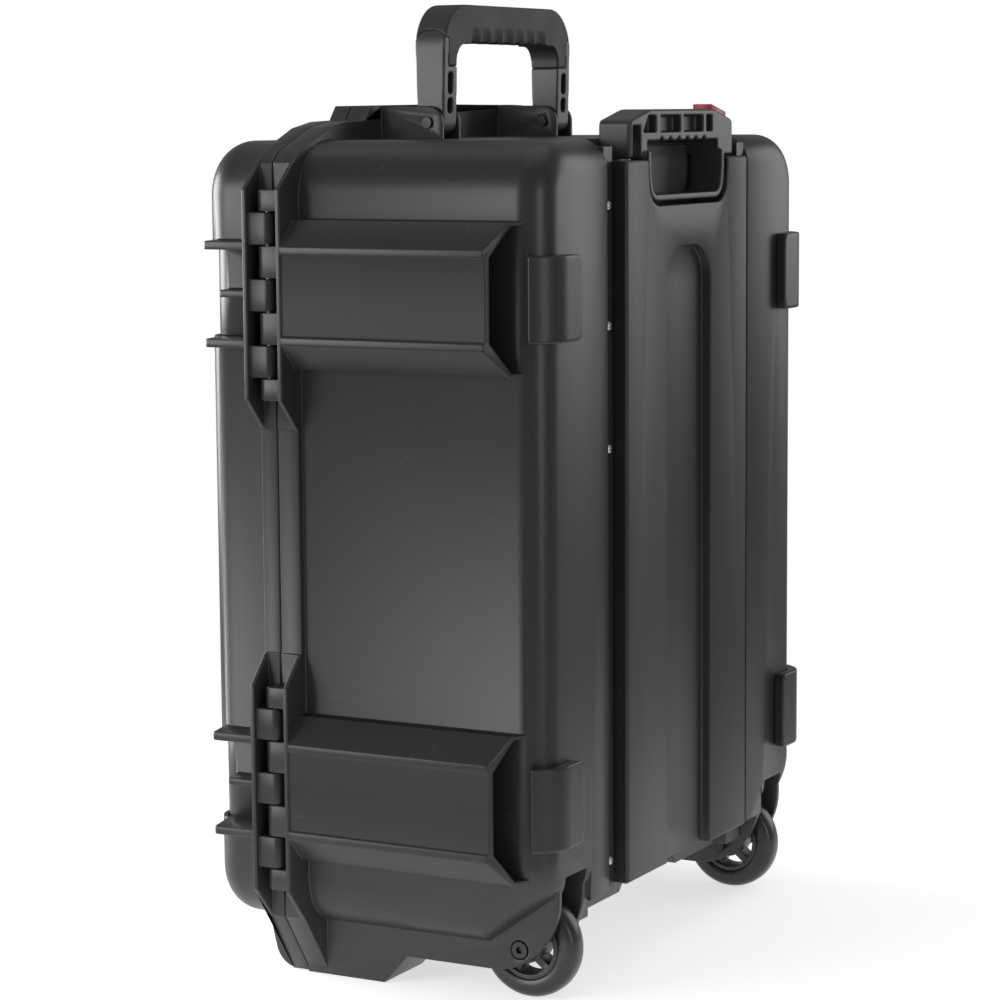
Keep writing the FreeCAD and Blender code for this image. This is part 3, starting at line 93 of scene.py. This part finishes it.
# ---- node maths ----------------------------------------------------------------------------
class Sock:
    """An output socket that takes arithmetic, with numbers or other sockets."""

    def __init__(self, net, socket):
        self.net = net
        self.socket = socket

    def math(self, operation, other, swap=False):
        pair = (other, self) if swap else (self, other)
        return self.net.node("ShaderNodeMath", {"operation": operation}, {0: pair[0], 1: pair[1]})

    def __add__(self, other):
        return self.math("ADD", other)

    def __radd__(self, other):
        return self.math("ADD", other, True)

    def __sub__(self, other):
        return self.math("SUBTRACT", other)

    def __rsub__(self, other):
        return self.math("SUBTRACT", other, True)

    def __mul__(self, other):
        return self.math("MULTIPLY", other)

    def __rmul__(self, other):
        return self.math("MULTIPLY", other, True)

    def __truediv__(self, other):
        return self.math("DIVIDE", other)

    def least(self, other):
        return self.math("MINIMUM", other)

    def most(self, other):
        return self.math("MAXIMUM", other)


class Graph:
    """A node tree under construction."""

    def __init__(self, tree):
        self.tree = tree

    def node(self, kind, settings, inputs, output=0):
        made = self.tree.nodes.new(kind)
        for key, value in settings.items():
            if key == "stops":
                set_stops(made.color_ramp, value)
            else:
                setattr(made, key, value)
        for key, value in inputs.items():
            if isinstance(value, Sock):
                self.tree.links.new(value.socket, made.inputs[key])
            else:
                made.inputs[key].default_value = value
        return Sock(self, made.outputs[output])


class Net(Graph):
    """The node tree of one material."""

    def __init__(self, name):
        self.material = bpy.data.materials.new(name)
        self.material.use_nodes = True
        super().__init__(self.material.node_tree)
        self.tree.nodes.clear()
        self.place = self.node("ShaderNodeTexCoord", {}, {}, "Object")

    def noise(self, size, detail=2.0, rough=0.5, place=None):
        """Noise from 0 to 1 whose features are about this many metres across."""
        inputs = {"Vector": place or self.place, "Scale": 1 / size, "Detail": detail, "Roughness": rough}
        return self.node("ShaderNodeTexNoise", {}, inputs, "Fac")

    def stretched(self, scale, turn=(0, 0, 0)):
        """Object coordinates turned, then scaled along their own axes."""
        turned = self.node("ShaderNodeMapping", {}, {"Vector": self.place, "Rotation": turn})
        return self.node("ShaderNodeVectorMath", {"operation": "MULTIPLY"}, {0: turned, 1: scale})

    def steps(self, value, stops):
        """A value sent through a ramp of (position, grey) stops."""
        return self.node("ShaderNodeValToRGB", {"stops": stops}, {"Fac": value})

    def blend(self, factor, first, second):
        """The first colour where the factor is 0, the second where it is 1."""
        settings = {"data_type": "RGBA"}
        return self.node("ShaderNodeMix", settings, {0: factor, 6: first, 7: second}, 2)

    def edges(self, radius):
        """How sharply the surface bends within this radius, from 0 on flat faces to 1."""
        soft = self.node("ShaderNodeBevel", {"samples": 4}, {"Radius": radius})
        flat = self.node("ShaderNodeNewGeometry", {}, {}, "Normal")
        same = self.node("ShaderNodeVectorMath", {"operation": "DOT_PRODUCT"}, {0: soft, 1: flat}, "Value")
        return (1 - same) * 4

    def bump(self, height, depth):
        """A bump whose full height is depth metres."""
        return self.node("ShaderNodeBump", {}, {"Height": height, "Strength": 1.0, "Distance": depth})

    def finish(self, color, roughness, normal=None, metallic=0.0, settings=None):
        """The Principled shader and the output."""
        inputs = {"Base Color": color, "Roughness": roughness, "Metallic": metallic}
        if normal is not None:
            inputs["Normal"] = normal
        inputs.update(settings or {})
        shader = self.node("ShaderNodeBsdfPrincipled", {}, inputs, "BSDF")
        self.node_output(shader)
        return self.material

    def node_output(self, shader):
        made = self.tree.nodes.new("ShaderNodeOutputMaterial")
        self.tree.links.new(shader.socket, made.inputs["Surface"])


class Geo(Graph):
    """A Geometry Nodes tree with named inputs, ending in plain geometry with one finish."""

    def __init__(self, name, lengths):
        super().__init__(bpy.data.node_groups.new(name, "GeometryNodeTree"))
        face = self.tree.interface
        face.new_socket("Geometry", in_out="INPUT", socket_type="NodeSocketGeometry")
        for label in lengths:
            face.new_socket(label, in_out="INPUT", socket_type="NodeSocketFloat")
        face.new_socket("Finish", in_out="INPUT", socket_type="NodeSocketMaterial")
        face.new_socket("Geometry", in_out="OUTPUT", socket_type="NodeSocketGeometry")
        group = self.tree.nodes.new("NodeGroupInput")
        self.given = {socket.name: Sock(self, socket) for socket in group.outputs if socket.name}

    def end(self, geometry):
        real = self.node("GeometryNodeRealizeInstances", {}, {"Geometry": geometry})
        done = self.node("GeometryNodeSetMaterial", {}, {"Geometry": real, "Material": self.given["Finish"]})
        group = self.tree.nodes.new("NodeGroupOutput")
        self.tree.links.new(done.socket, group.inputs["Geometry"])

    def put_on(self, piece, values):
        """Runs the tree on the piece with these input values and keeps the resulting mesh."""
        modifier = piece.modifiers.new(self.tree.name, "NODES")
        modifier.node_group = self.tree
        for item in self.tree.interface.items_tree:
            if item.in_out == "INPUT" and item.name in values:
                modifier[item.identifier] = values[item.name]
        apply_modifiers(piece)


def set_stops(ramp, stops):
    while len(ramp.elements) < len(stops):
        ramp.elements.new(1.0)
    for element, (position, grey) in zip(ramp.elements, stops):
        element.position = position
        element.color = (grey, grey, grey, 1.0)


def grey(level, warmth=0.0):
    return (level * (1 + warmth), level, level * (1 - warmth), 1.0)


# ---- materials -----------------------------------------------------------------------------
def moulded(name, level, roughness, grain, grain_depth, scuffs=0.3, wear=0.5):
    """Textured black moulding: cloudy tone, fine spark grain, rubbed edges and short scuffs."""
    net = Net(name)
    cloud = net.noise(0.16, 3.0)
    patch = net.noise(0.035, 4.0, 0.6)
    fine = net.noise(grain, 2.0, 0.6)
    pits = net.noise(grain * 0.35, 1.0)
    scratch_a = net.noise(0.05, 1.0, 0.4, net.stretched((1.0, 9.0, 40.0), (0.3, 0.2, 0.5)))
    scratch_b = net.noise(0.05, 1.0, 0.4, net.stretched((40.0, 5.0, 1.0), (0.1, 0.7, 0.2)))
    lines = net.steps(scratch_a.most(scratch_b), [(0.70, 0.0), (0.76, 1.0)])
    rubbed = net.steps(patch, [(0.52, 0.0), (0.72, 1.0)])
    scuff = lines * rubbed * scuffs
    edge = net.steps(net.edges(1.6 * MM), [(0.10, 0.0), (0.75, 1.0)]) * (0.4 + patch * 0.6) * wear
    tone = net.blend(cloud, grey(level * 0.82), grey(level * 1.18, 0.01))
    tone = net.blend(fine * 0.35, tone, grey(level * 1.5))
    tone = net.blend(scuff, tone, grey(level * 5 + 0.05))
    tone = net.blend(edge * 0.35, tone, grey(level * 3.2))
    rough = roughness + (cloud - 0.5) * 0.10 + (fine - 0.5) * 0.10 + scuff * 0.12 - edge * 0.06
    height = fine * 0.7 + pits * 0.3 - scuff * 0.4
    return net.finish(tone, rough, net.bump(height, grain_depth))


def soft_rubber(name, level, roughness):
    """Soft overmould: even and dull, with a faint bloom and handling shine."""
    net = Net(name)
    handled = net.noise(0.03, 3.0, 0.6)
    fine = net.noise(0.9 * MM, 2.0)
    tone = net.blend(handled, grey(level * 0.85), grey(level * 1.35, 0.01))
    rough = roughness + (handled - 0.5) * 0.16 + (fine - 0.5) * 0.06
    return net.finish(tone, rough, net.bump(fine, 0.05 * MM))


def tyre_rubber():
    """Polyurethane tread, smooth and slightly shiny, with patches of dust."""
    net = Net("polyurethane_tread")
    dust = net.noise(0.012, 4.0, 0.65)
    fine = net.noise(1.2 * MM, 2.0)
    tone = net.blend(net.steps(dust, [(0.5, 0.0), (0.8, 0.6)]), grey(0.008), grey(0.04, 0.02))
    rough = 0.26 + dust * 0.18
    coat = {"Coat Weight": 0.25, "Coat Roughness": 0.25}
    return net.finish(tone, rough, net.bump(fine, 0.03 * MM), settings=coat)


def plated_steel(name, level, roughness):
    """Plated or blackened steel with fine drawing lines and a few dull spots."""
    net = Net(name)
    drawn = net.noise(0.01, 2.0, 0.5, net.stretched((60.0, 60.0, 3.0)))
    spots = net.noise(4 * MM, 3.0, 0.6)
    tone = net.blend(spots, grey(level * 0.8, 0.01), grey(level * 1.1))
    rough = roughness + drawn * 0.12 + net.steps(spots, [(0.55, 0.0), (0.75, 1.0)]) * 0.15
    return net.finish(tone, rough, net.bump(drawn, 0.02 * MM), metallic=1.0)


def anodised_tube():
    """Drawn aluminium tube, anodised dark, with lengthwise lines."""
    net = Net("anodised_tube")
    drawn = net.noise(0.01, 2.0, 0.5, net.stretched((90.0, 90.0, 1.5)))
    cloud = net.noise(0.08, 2.0)
    tone = net.blend(cloud, grey(0.26), grey(0.36, 0.01))
    return net.finish(tone, 0.26 + drawn * 0.16, net.bump(drawn, 0.03 * MM), metallic=1.0)


def open_cell_foam(name, level):
    """Polyurethane foam: open cells with painted shade in their hollows, matt, uneven where it was cut."""
    net = Net(name)
    place = {"Vector": net.place, "Scale": 1 / (1.6 * MM)}
    cells = net.node("ShaderNodeTexVoronoi", {"feature": "F1"}, place, "Distance")
    shaded_pores = net.steps(cells, [(0.05, 0.0), (0.55, 1.0)])
    cut = net.noise(0.02, 3.0)
    # painted shade: the cell pores, sunk by the bump, are darkened as though shade falls inside them
    tone = net.blend(shaded_pores, grey(level * 0.35), grey(level))
    tone = net.blend(cut * 0.5, tone, grey(level * 1.5, 0.01))
    normal = net.bump(shaded_pores * 0.8 + cut * 0.4, 0.5 * MM)
    settings = {"Sheen Weight": 0.25, "Sheen Roughness": 0.6, "Specular IOR Level": 0.2}
    return net.finish(tone, 0.92 + (cut - 0.5) * 0.1, normal, settings=settings)


def red_button():
    """Glossy red moulding with a fine texture and rubbed corners."""
    net = Net("red_button")
    fine = net.noise(0.6 * MM, 2.0)
    patch = net.noise(6 * MM, 3.0)
    edge = net.steps(net.edges(1.2 * MM), [(0.10, 0.0), (0.75, 1.0)])
    tone = net.blend(patch, (0.42, 0.018, 0.030, 1.0), (0.56, 0.036, 0.050, 1.0))
    tone = net.blend(edge * 0.5, tone, (0.75, 0.16, 0.17, 1.0))
    return net.finish(tone, 0.34 + (fine - 0.5) * 0.1, net.bump(fine, 0.03 * MM))


def pale_floor():
    """Pale paper sweep that fades into the backdrop away from the case."""
    net = Net("pale_floor")
    cloud = net.noise(0.4, 3.0)
    fine = net.bump(net.noise(2 * MM), 0.02 * MM)
    inputs = {"Base Color": net.blend(cloud, grey(0.88), grey(0.91)), "Roughness": 0.8, "Normal": fine,
              "Emission Color": grey(1.0), "Emission Strength": 0.62}
    paper = net.node("ShaderNodeBsdfPrincipled", {}, inputs, "BSDF")
    away = net.node("ShaderNodeVectorMath", {"operation": "LENGTH"}, {0: net.place}, "Value")
    fade = net.steps((away - FLOOR_SOLID) * FLOOR_FADES, [(0.0, 0.0), (1.0, 1.0)])
    clear = net.node("ShaderNodeBsdfTransparent", {}, {}, "BSDF")
    net.node_output(net.node("ShaderNodeMixShader", {}, {0: fade, 1: paper, 2: clear}, "Shader"))
    return net.material


FINISH = {
    "shell": moulded("shell_polypropylene", 0.022, 0.35, 0.8 * MM, 0.06 * MM),
    "cover": moulded("stippled_cover", 0.017, 0.40, 1.6 * MM, 0.14 * MM, 0.2),
    "pocket": moulded("pocket_plastic", 0.055, 0.48, 0.9 * MM, 0.04 * MM, 0.2),
    "handle_plastic": moulded("glass_filled_nylon", 0.030, 0.36, 0.7 * MM, 0.05 * MM, 0.35),
    "rubber": soft_rubber("grip_rubber", 0.020, 0.55),
    "wheel_tyre": tyre_rubber(),
    "steel": plated_steel("plated_steel", 0.55, 0.22),
    "black_steel": plated_steel("blackened_steel", 0.06, 0.34),
    "tube": anodised_tube(),
    "foam": open_cell_foam("charcoal_foam", 0.035),
    "button": red_button(),
}


# ---- making pieces -------------------------------------------------------------------------
def apply_modifiers(piece):
    """Turns the evaluated object into its plain mesh and drops the modifiers."""
    depsgraph = bpy.context.evaluated_depsgraph_get()
    mesh = bpy.data.meshes.new_from_object(piece.evaluated_get(depsgraph))
    piece.modifiers.clear()
    piece.data = mesh


def merged_copy(node, name):
    """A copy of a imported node's mesh, welded, with its flat faces joined up."""
    source = frame["nodes"][node].data
    mesh = bpy.data.meshes.new(name)
    work = bmesh.new()
    work.from_mesh(source)
    bmesh.ops.remove_doubles(work, verts=work.verts, dist=2e-6)
    bmesh.ops.dissolve_limit(work, angle_limit=math.radians(0.5), verts=work.verts, edges=work.edges)
    work.to_mesh(mesh)
    work.free()
    piece = bpy.data.objects.new(name, mesh)
    bpy.context.scene.collection.objects.link(piece)
    return piece


def shade(piece, angle):
    """Smooth shading with sharp edges above an angle in degrees."""
    piece.data.polygons.foreach_set("use_smooth", [True] * len(piece.data.polygons))
    piece.data.set_sharp_from_angle(angle=math.radians(angle))


def stands_for(piece, node):
    """Gives a piece the node's body and the finish of the node's slot, in the node's place."""
    slot = SLOT_OF[node]
    piece.data.materials.clear()
    piece.data.materials.append(FINISH[slot])
    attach(piece, BODY_OF[node])
    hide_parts(node)
    return piece


def eased(node, width, segments=2, angle=28):
    """The node with its sharp edges rounded over by width metres."""
    piece = merged_copy(node, node + "_eased")
    bevel = piece.modifiers.new("edge", "BEVEL")
    bevel.width = width
    bevel.segments = segments
    bevel.limit_method = "ANGLE"
    bevel.angle_limit = math.radians(angle)
    bevel.use_clamp_overlap = False
    bevel.miter_outer = "MITER_ARC"
    apply_modifiers(piece)
    shade(piece, 34)
    return stands_for(piece, node)


def remoulded(node, voxel, smoothing, name="_moulded"):
    """The node remade at an even fine mesh and smoothed, so every edge is softly rounded."""
    piece = merged_copy(node, node + name)
    remesh = piece.modifiers.new("voxels", "REMESH")
    remesh.mode = "VOXEL"
    remesh.voxel_size = voxel
    remesh.adaptivity = 0.0
    soften = piece.modifiers.new("soften", "SMOOTH")
    soften.factor = 0.5
    soften.iterations = smoothing
    apply_modifiers(piece)
    piece.data.polygons.foreach_set("use_smooth", [True] * len(piece.data.polygons))
    return piece


def islands(node):
    """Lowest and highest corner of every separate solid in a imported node."""
    work = bmesh.new()
    work.from_mesh(frame["nodes"][node].data)
    bmesh.ops.remove_doubles(work, verts=work.verts, dist=2e-6)
    left = set(work.verts)
    found = []
    while left:
        front = [left.pop()]
        group = []
        while front:
            vert = front.pop()
            group.append(vert.co.copy())
            near = {edge.other_vert(vert) for edge in vert.link_edges} & left
            left -= near
            front += near
        found.append([[pick(point[i] for point in group) for i in range(3)] for pick in (min, max)])
    work.free()
    return sorted(found)


def lathe(name, profile, centre, steps=96):
    """A ring about X through centre; profile is a closed loop of (x, radius)."""
    turns = [2 * math.pi * step / steps for step in range(steps)]
    points = [centre + Vector((x, r * math.cos(a), r * math.sin(a))) for a in turns for x, r in profile]
    count = len(profile)
    faces = []
    for i in range(steps):
        for j in range(count):
            here, there = i * count, (i + 1) % steps * count
            faces.append((here + j, here + (j + 1) % count, there + (j + 1) % count, there + j))
    mesh = bpy.data.meshes.new(name)
    mesh.from_pydata(points, [], faces)
    work = bmesh.new()
    work.from_mesh(mesh)
    bmesh.ops.recalc_face_normals(work, faces=work.faces)
    work.to_mesh(mesh)
    work.free()
    piece = bpy.data.objects.new(name, mesh)
    bpy.context.scene.collection.objects.link(piece)
    return piece


# ---- repeated detail -----------------------------------------------------------------------
def egg_crate():
    """Sinks the faces that look along +Y into rounded peaks and hollows."""
    geo = Geo("egg_crate", ("Pitch", "Depth"))
    place = geo.node("GeometryNodeInputPosition", {}, {})
    along = [geo.node("ShaderNodeSeparateXYZ", {}, {0: place}, axis) for axis in ("X", "Z")]
    waves = [(value * (2 * math.pi) / geo.given["Pitch"]).math("COSINE", 0.0) for value in along]
    sink = (waves[0] * waves[1] - 1) * 0.5 * geo.given["Depth"]
    offset = geo.node("ShaderNodeCombineXYZ", {}, {"Y": sink})
    normal = geo.node("GeometryNodeInputNormal", {}, {})
    facing = geo.node("ShaderNodeSeparateXYZ", {}, {0: normal}, "Y").math("GREATER_THAN", 0.6)
    inputs = {"Geometry": geo.given["Geometry"], "Selection": facing, "Offset": offset}
    geo.end(geo.node("GeometryNodeSetPosition", {}, inputs))
    return geo


def scallops():
    """Finger hollows with sharp ridges between them, on the lower edges of a bar along X."""
    geo = Geo("scallops", ("Pitch", "Lean", "Middle", "Under", "Height", "Reach", "Depth"))
    place = geo.node("GeometryNodeInputPosition", {}, {})
    x, y, z = [geo.node("ShaderNodeSeparateXYZ", {}, {0: place}, axis) for axis in ("X", "Y", "Z")]
    along = (x + (y - geo.given["Middle"]) * geo.given["Lean"]) / geo.given["Pitch"]
    bowl = (along * math.pi).math("SINE", 0.0).math("ABSOLUTE", 0.0)
    low = (1 - (z - geo.given["Under"]) / geo.given["Height"]).most(0.0).least(1.0)
    inside = ((geo.given["Reach"] - x.math("ABSOLUTE", 0.0)) * 200).most(0.0).least(1.0)
    push = bowl * low * inside * geo.given["Depth"] * -1
    normal = geo.node("GeometryNodeInputNormal", {}, {})
    offset = geo.node("ShaderNodeVectorMath", {"operation": "SCALE"}, {0: normal, "Scale": push})
    geo.end(geo.node("GeometryNodeSetPosition", {}, {"Geometry": geo.given["Geometry"], "Offset": offset}))
    return geo


def pan_screws():
    """A domed head with a cross recess on every point, each turned its own way about Y."""
    geo = Geo("pan_screws", ("Radius", "Height"))
    radius, height = geo.given["Radius"], geo.given["Height"]
    ball = geo.node("GeometryNodeMeshUVSphere", {}, {"Segments": 40, "Rings": 20, "Radius": radius}, "Mesh")
    flat = geo.node("ShaderNodeCombineXYZ", {}, {0: 1.0, 1: 1.0, 2: height / radius})
    dome = geo.node("GeometryNodeTransform", {}, {"Geometry": ball, "Scale": flat})
    up = geo.node("ShaderNodeCombineXYZ", {}, {2: height * 1.1})
    cuts = []
    for size in ((radius * 1.2, radius * 0.26), (radius * 0.26, radius * 1.2)):
        block = geo.node("ShaderNodeCombineXYZ", {}, {0: size[0], 1: size[1], 2: height * 1.5})
        bar = geo.node("GeometryNodeMeshCube", {}, {"Size": block}, "Mesh")
        cuts.append(geo.node("GeometryNodeTransform", {}, {"Geometry": bar, "Translation": up}))
    head = dome
    for cut in cuts:
        meshes = {"Mesh 1": head, "Mesh 2": cut}
        head = geo.node("GeometryNodeMeshBoolean", {"operation": "DIFFERENCE"}, meshes)
    spin = geo.node("FunctionNodeRandomValue", {}, {"Min": 0.0, "Max": 3.0, "Seed": 5}, "Value")
    turn = geo.node("ShaderNodeCombineXYZ", {}, {0: -math.pi / 2, 1: spin})
    points = geo.node("GeometryNodeMeshToPoints", {}, {"Mesh": geo.given["Geometry"]})
    inputs = {"Points": points, "Instance": head, "Rotation": turn}
    geo.end(geo.node("GeometryNodeInstanceOnPoints", {}, inputs))
    return geo


# ---- pieces --------------------------------------------------------------------------------
EASED = {
    "base_shell": 0.9 * MM, "lid_shell": 0.9 * MM, "trolley_cover": 1.2 * MM, "trolley_housing": 0.6 * MM,
    "hand_pocket": 0.3 * MM, "release_button": 0.6 * MM,
}


def build_tyres():
    """Rounded tread down to the shoulders and straight flanks to the hub, about each wheel's axis."""
    for side in SIDES:
        low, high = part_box("tyre_" + side)
        centre = (Vector(low) + Vector(high)) / 2
        half = (high[0] - low[0]) / 2
        radius = (high[2] - low[2]) / 2
        shoulder, inner = radius * TREAD_SHOULDER, radius * TREAD_INNER
        crown = [math.radians(-90 + 10 * step) for step in range(19)]
        loop = [(half * math.copysign(abs(math.sin(a)) ** 0.8, a),
                 shoulder + (radius - shoulder) * max(0.0, math.cos(a)) ** 0.7) for a in crown]
        bead = half - TREAD_CORNER
        loop += [(half, inner + TREAD_CORNER), (bead, inner), (-bead, inner), (-half, inner + TREAD_CORNER)]
        tyre = lathe("tread_" + side, loop, centre)
        shade(tyre, 50)
        stands_for(tyre, "tyre_" + side)


def build_screws():
    """The strip screws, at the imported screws' places."""
    heads = islands("trolley_screws")
    spots = [((low[0] + high[0]) / 2, high[1] - SCREW_HEAD, (low[2] + high[2]) / 2) for low, high in heads]
    mesh = bpy.data.meshes.new("strip_screws")
    mesh.from_pydata(spots, [], [])
    piece = bpy.data.objects.new("strip_screws", mesh)
    bpy.context.scene.collection.objects.link(piece)
    radius = (heads[0][1][0] - heads[0][0][0]) / 2
    values = {"Radius": radius, "Height": SCREW_HEAD, "Finish": FINISH["steel"]}
    pan_screws().put_on(piece, values)
    shade(piece, 40)
    stands_for(piece, "trolley_screws")


def build_foam():
    """Cut foam with soft edges; the lid's foam has a convoluted face."""
    crate = egg_crate()
    for node in ("foam_insert_drone", "foam_insert_gear", "foam_floor", "lid_foam"):
        piece = remoulded(node, FOAM_VOXEL, 3, "_soft")
        if node == "lid_foam":
            crate.put_on(piece, {"Pitch": CRATE_PITCH, "Depth": CRATE_DEPTH, "Finish": FINISH["foam"]})
            shade(piece, 70)
        stands_for(piece, node)


def build_pieces():
    """Reworked pieces: bevelled where faces are flat, remeshed and smoothed where they are rounded."""
    build_tyres()
    build_screws()
    build_foam()
    for node, width in EASED.items():
        eased(node, width)
    stands_for(remoulded("pull_head", FINE_VOXEL, 5), "pull_head")
    for level in LEVELS:
        eased("latch_lever_" + level, 0.8 * MM)
        eased("latch_trigger_" + level, 0.4 * MM)
        for side in SIDES:
            pad = "back_pad_" + side + "_" + level
            stands_for(remoulded(pad, PAD_VOXEL, 3), pad)
    for side in SIDES:
        eased("hub_" + side, 0.5 * MM)
    for place in ("top", "side"):
        stands_for(remoulded(place + "_handle_frame", FINE_VOXEL, 2), place + "_handle_frame")
        grip = remoulded(place + "_handle_grip", FINE_VOXEL, 6)
        if place == "top":
            low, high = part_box("top_handle_grip")
            places = {"Middle": (low[1] + high[1]) / 2, "Under": high[2] - GRIP_UNDER}
            scallops().put_on(grip, {**FINGERS, **places, "Finish": FINISH["rubber"]})
            shade(grip, 180)
        stands_for(grip, place + "_handle_grip")


def dress_plain_nodes():
    """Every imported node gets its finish; its shape and shading stay as packed."""
    for node, thing in frame["nodes"].items():
        thing.data.materials.clear()
        thing.data.materials.append(FINISH[SLOT_OF[node]])


# ---- stage ---------------------------------------------------------------------------------
def lamp(name, at, size, power):
    data = bpy.data.lights.new(name, "AREA")
    data.shape = "RECTANGLE"
    data.size = size[0]
    data.size_y = size[1]
    data.energy = power
    thing = bpy.data.objects.new(name, data)
    thing.location = at
    thing.rotation_euler = (Vector(LAMP_AIM) - Vector(at)).to_track_quat("-Z", "Y").to_euler()
    bpy.context.scene.collection.objects.link(thing)


def set_stage():
    bpy.ops.mesh.primitive_grid_add(x_subdivisions=8, y_subdivisions=8, size=FLOOR_SIZE)
    floor = bpy.context.object
    floor.name = "floor"
    floor.data.materials.append(pale_floor())
    world = bpy.data.worlds.new("studio")
    world.use_nodes = True
    sky = Graph(world.node_tree)
    seen = sky.node("ShaderNodeLightPath", {}, {}, "Is Camera Ray")
    backdrop = world.node_tree.nodes["Background"]
    backdrop.inputs["Color"].default_value = (1.0, 1.0, 1.0, 1.0)
    strength = seen * (SKY_SEEN - SKY_LIGHT) + SKY_LIGHT
    world.node_tree.links.new(strength.socket, backdrop.inputs["Strength"])
    bpy.context.scene.world = world
    bpy.context.scene.view_settings.view_transform = "Standard"
    for name, (at, size, power) in LAMPS.items():
        lamp(name, at, size, power)


def set_camera():
    data = bpy.data.cameras.new("camera")
    data.lens = CAMERA_LENS
    data.sensor_width = SENSOR
    data.clip_end = 50
    thing = bpy.data.objects.new("camera", data)
    heading = math.radians(CAMERA_HEADING)
    tilt = math.radians(CAMERA_TILT)
    forward = Vector((math.cos(tilt) * math.cos(heading), math.cos(tilt) * math.sin(heading), math.sin(tilt)))
    level_right = forward.cross(Vector((0, 0, 1))).normalized()
    level_up = level_right.cross(forward)
    roll = math.radians(CAMERA_ROLL)
    right = level_right * math.cos(roll) + level_up * math.sin(roll)
    up = level_up * math.cos(roll) - level_right * math.sin(roll)
    turn = Matrix((right, up, -forward)).transposed().to_4x4()
    thing.matrix_world = Matrix.Translation(CAMERA_AT) @ turn
    bpy.context.scene.collection.objects.link(thing)
    bpy.context.scene.camera = thing


set_camera()
set_stage()
dress_plain_nodes()
build_pieces()
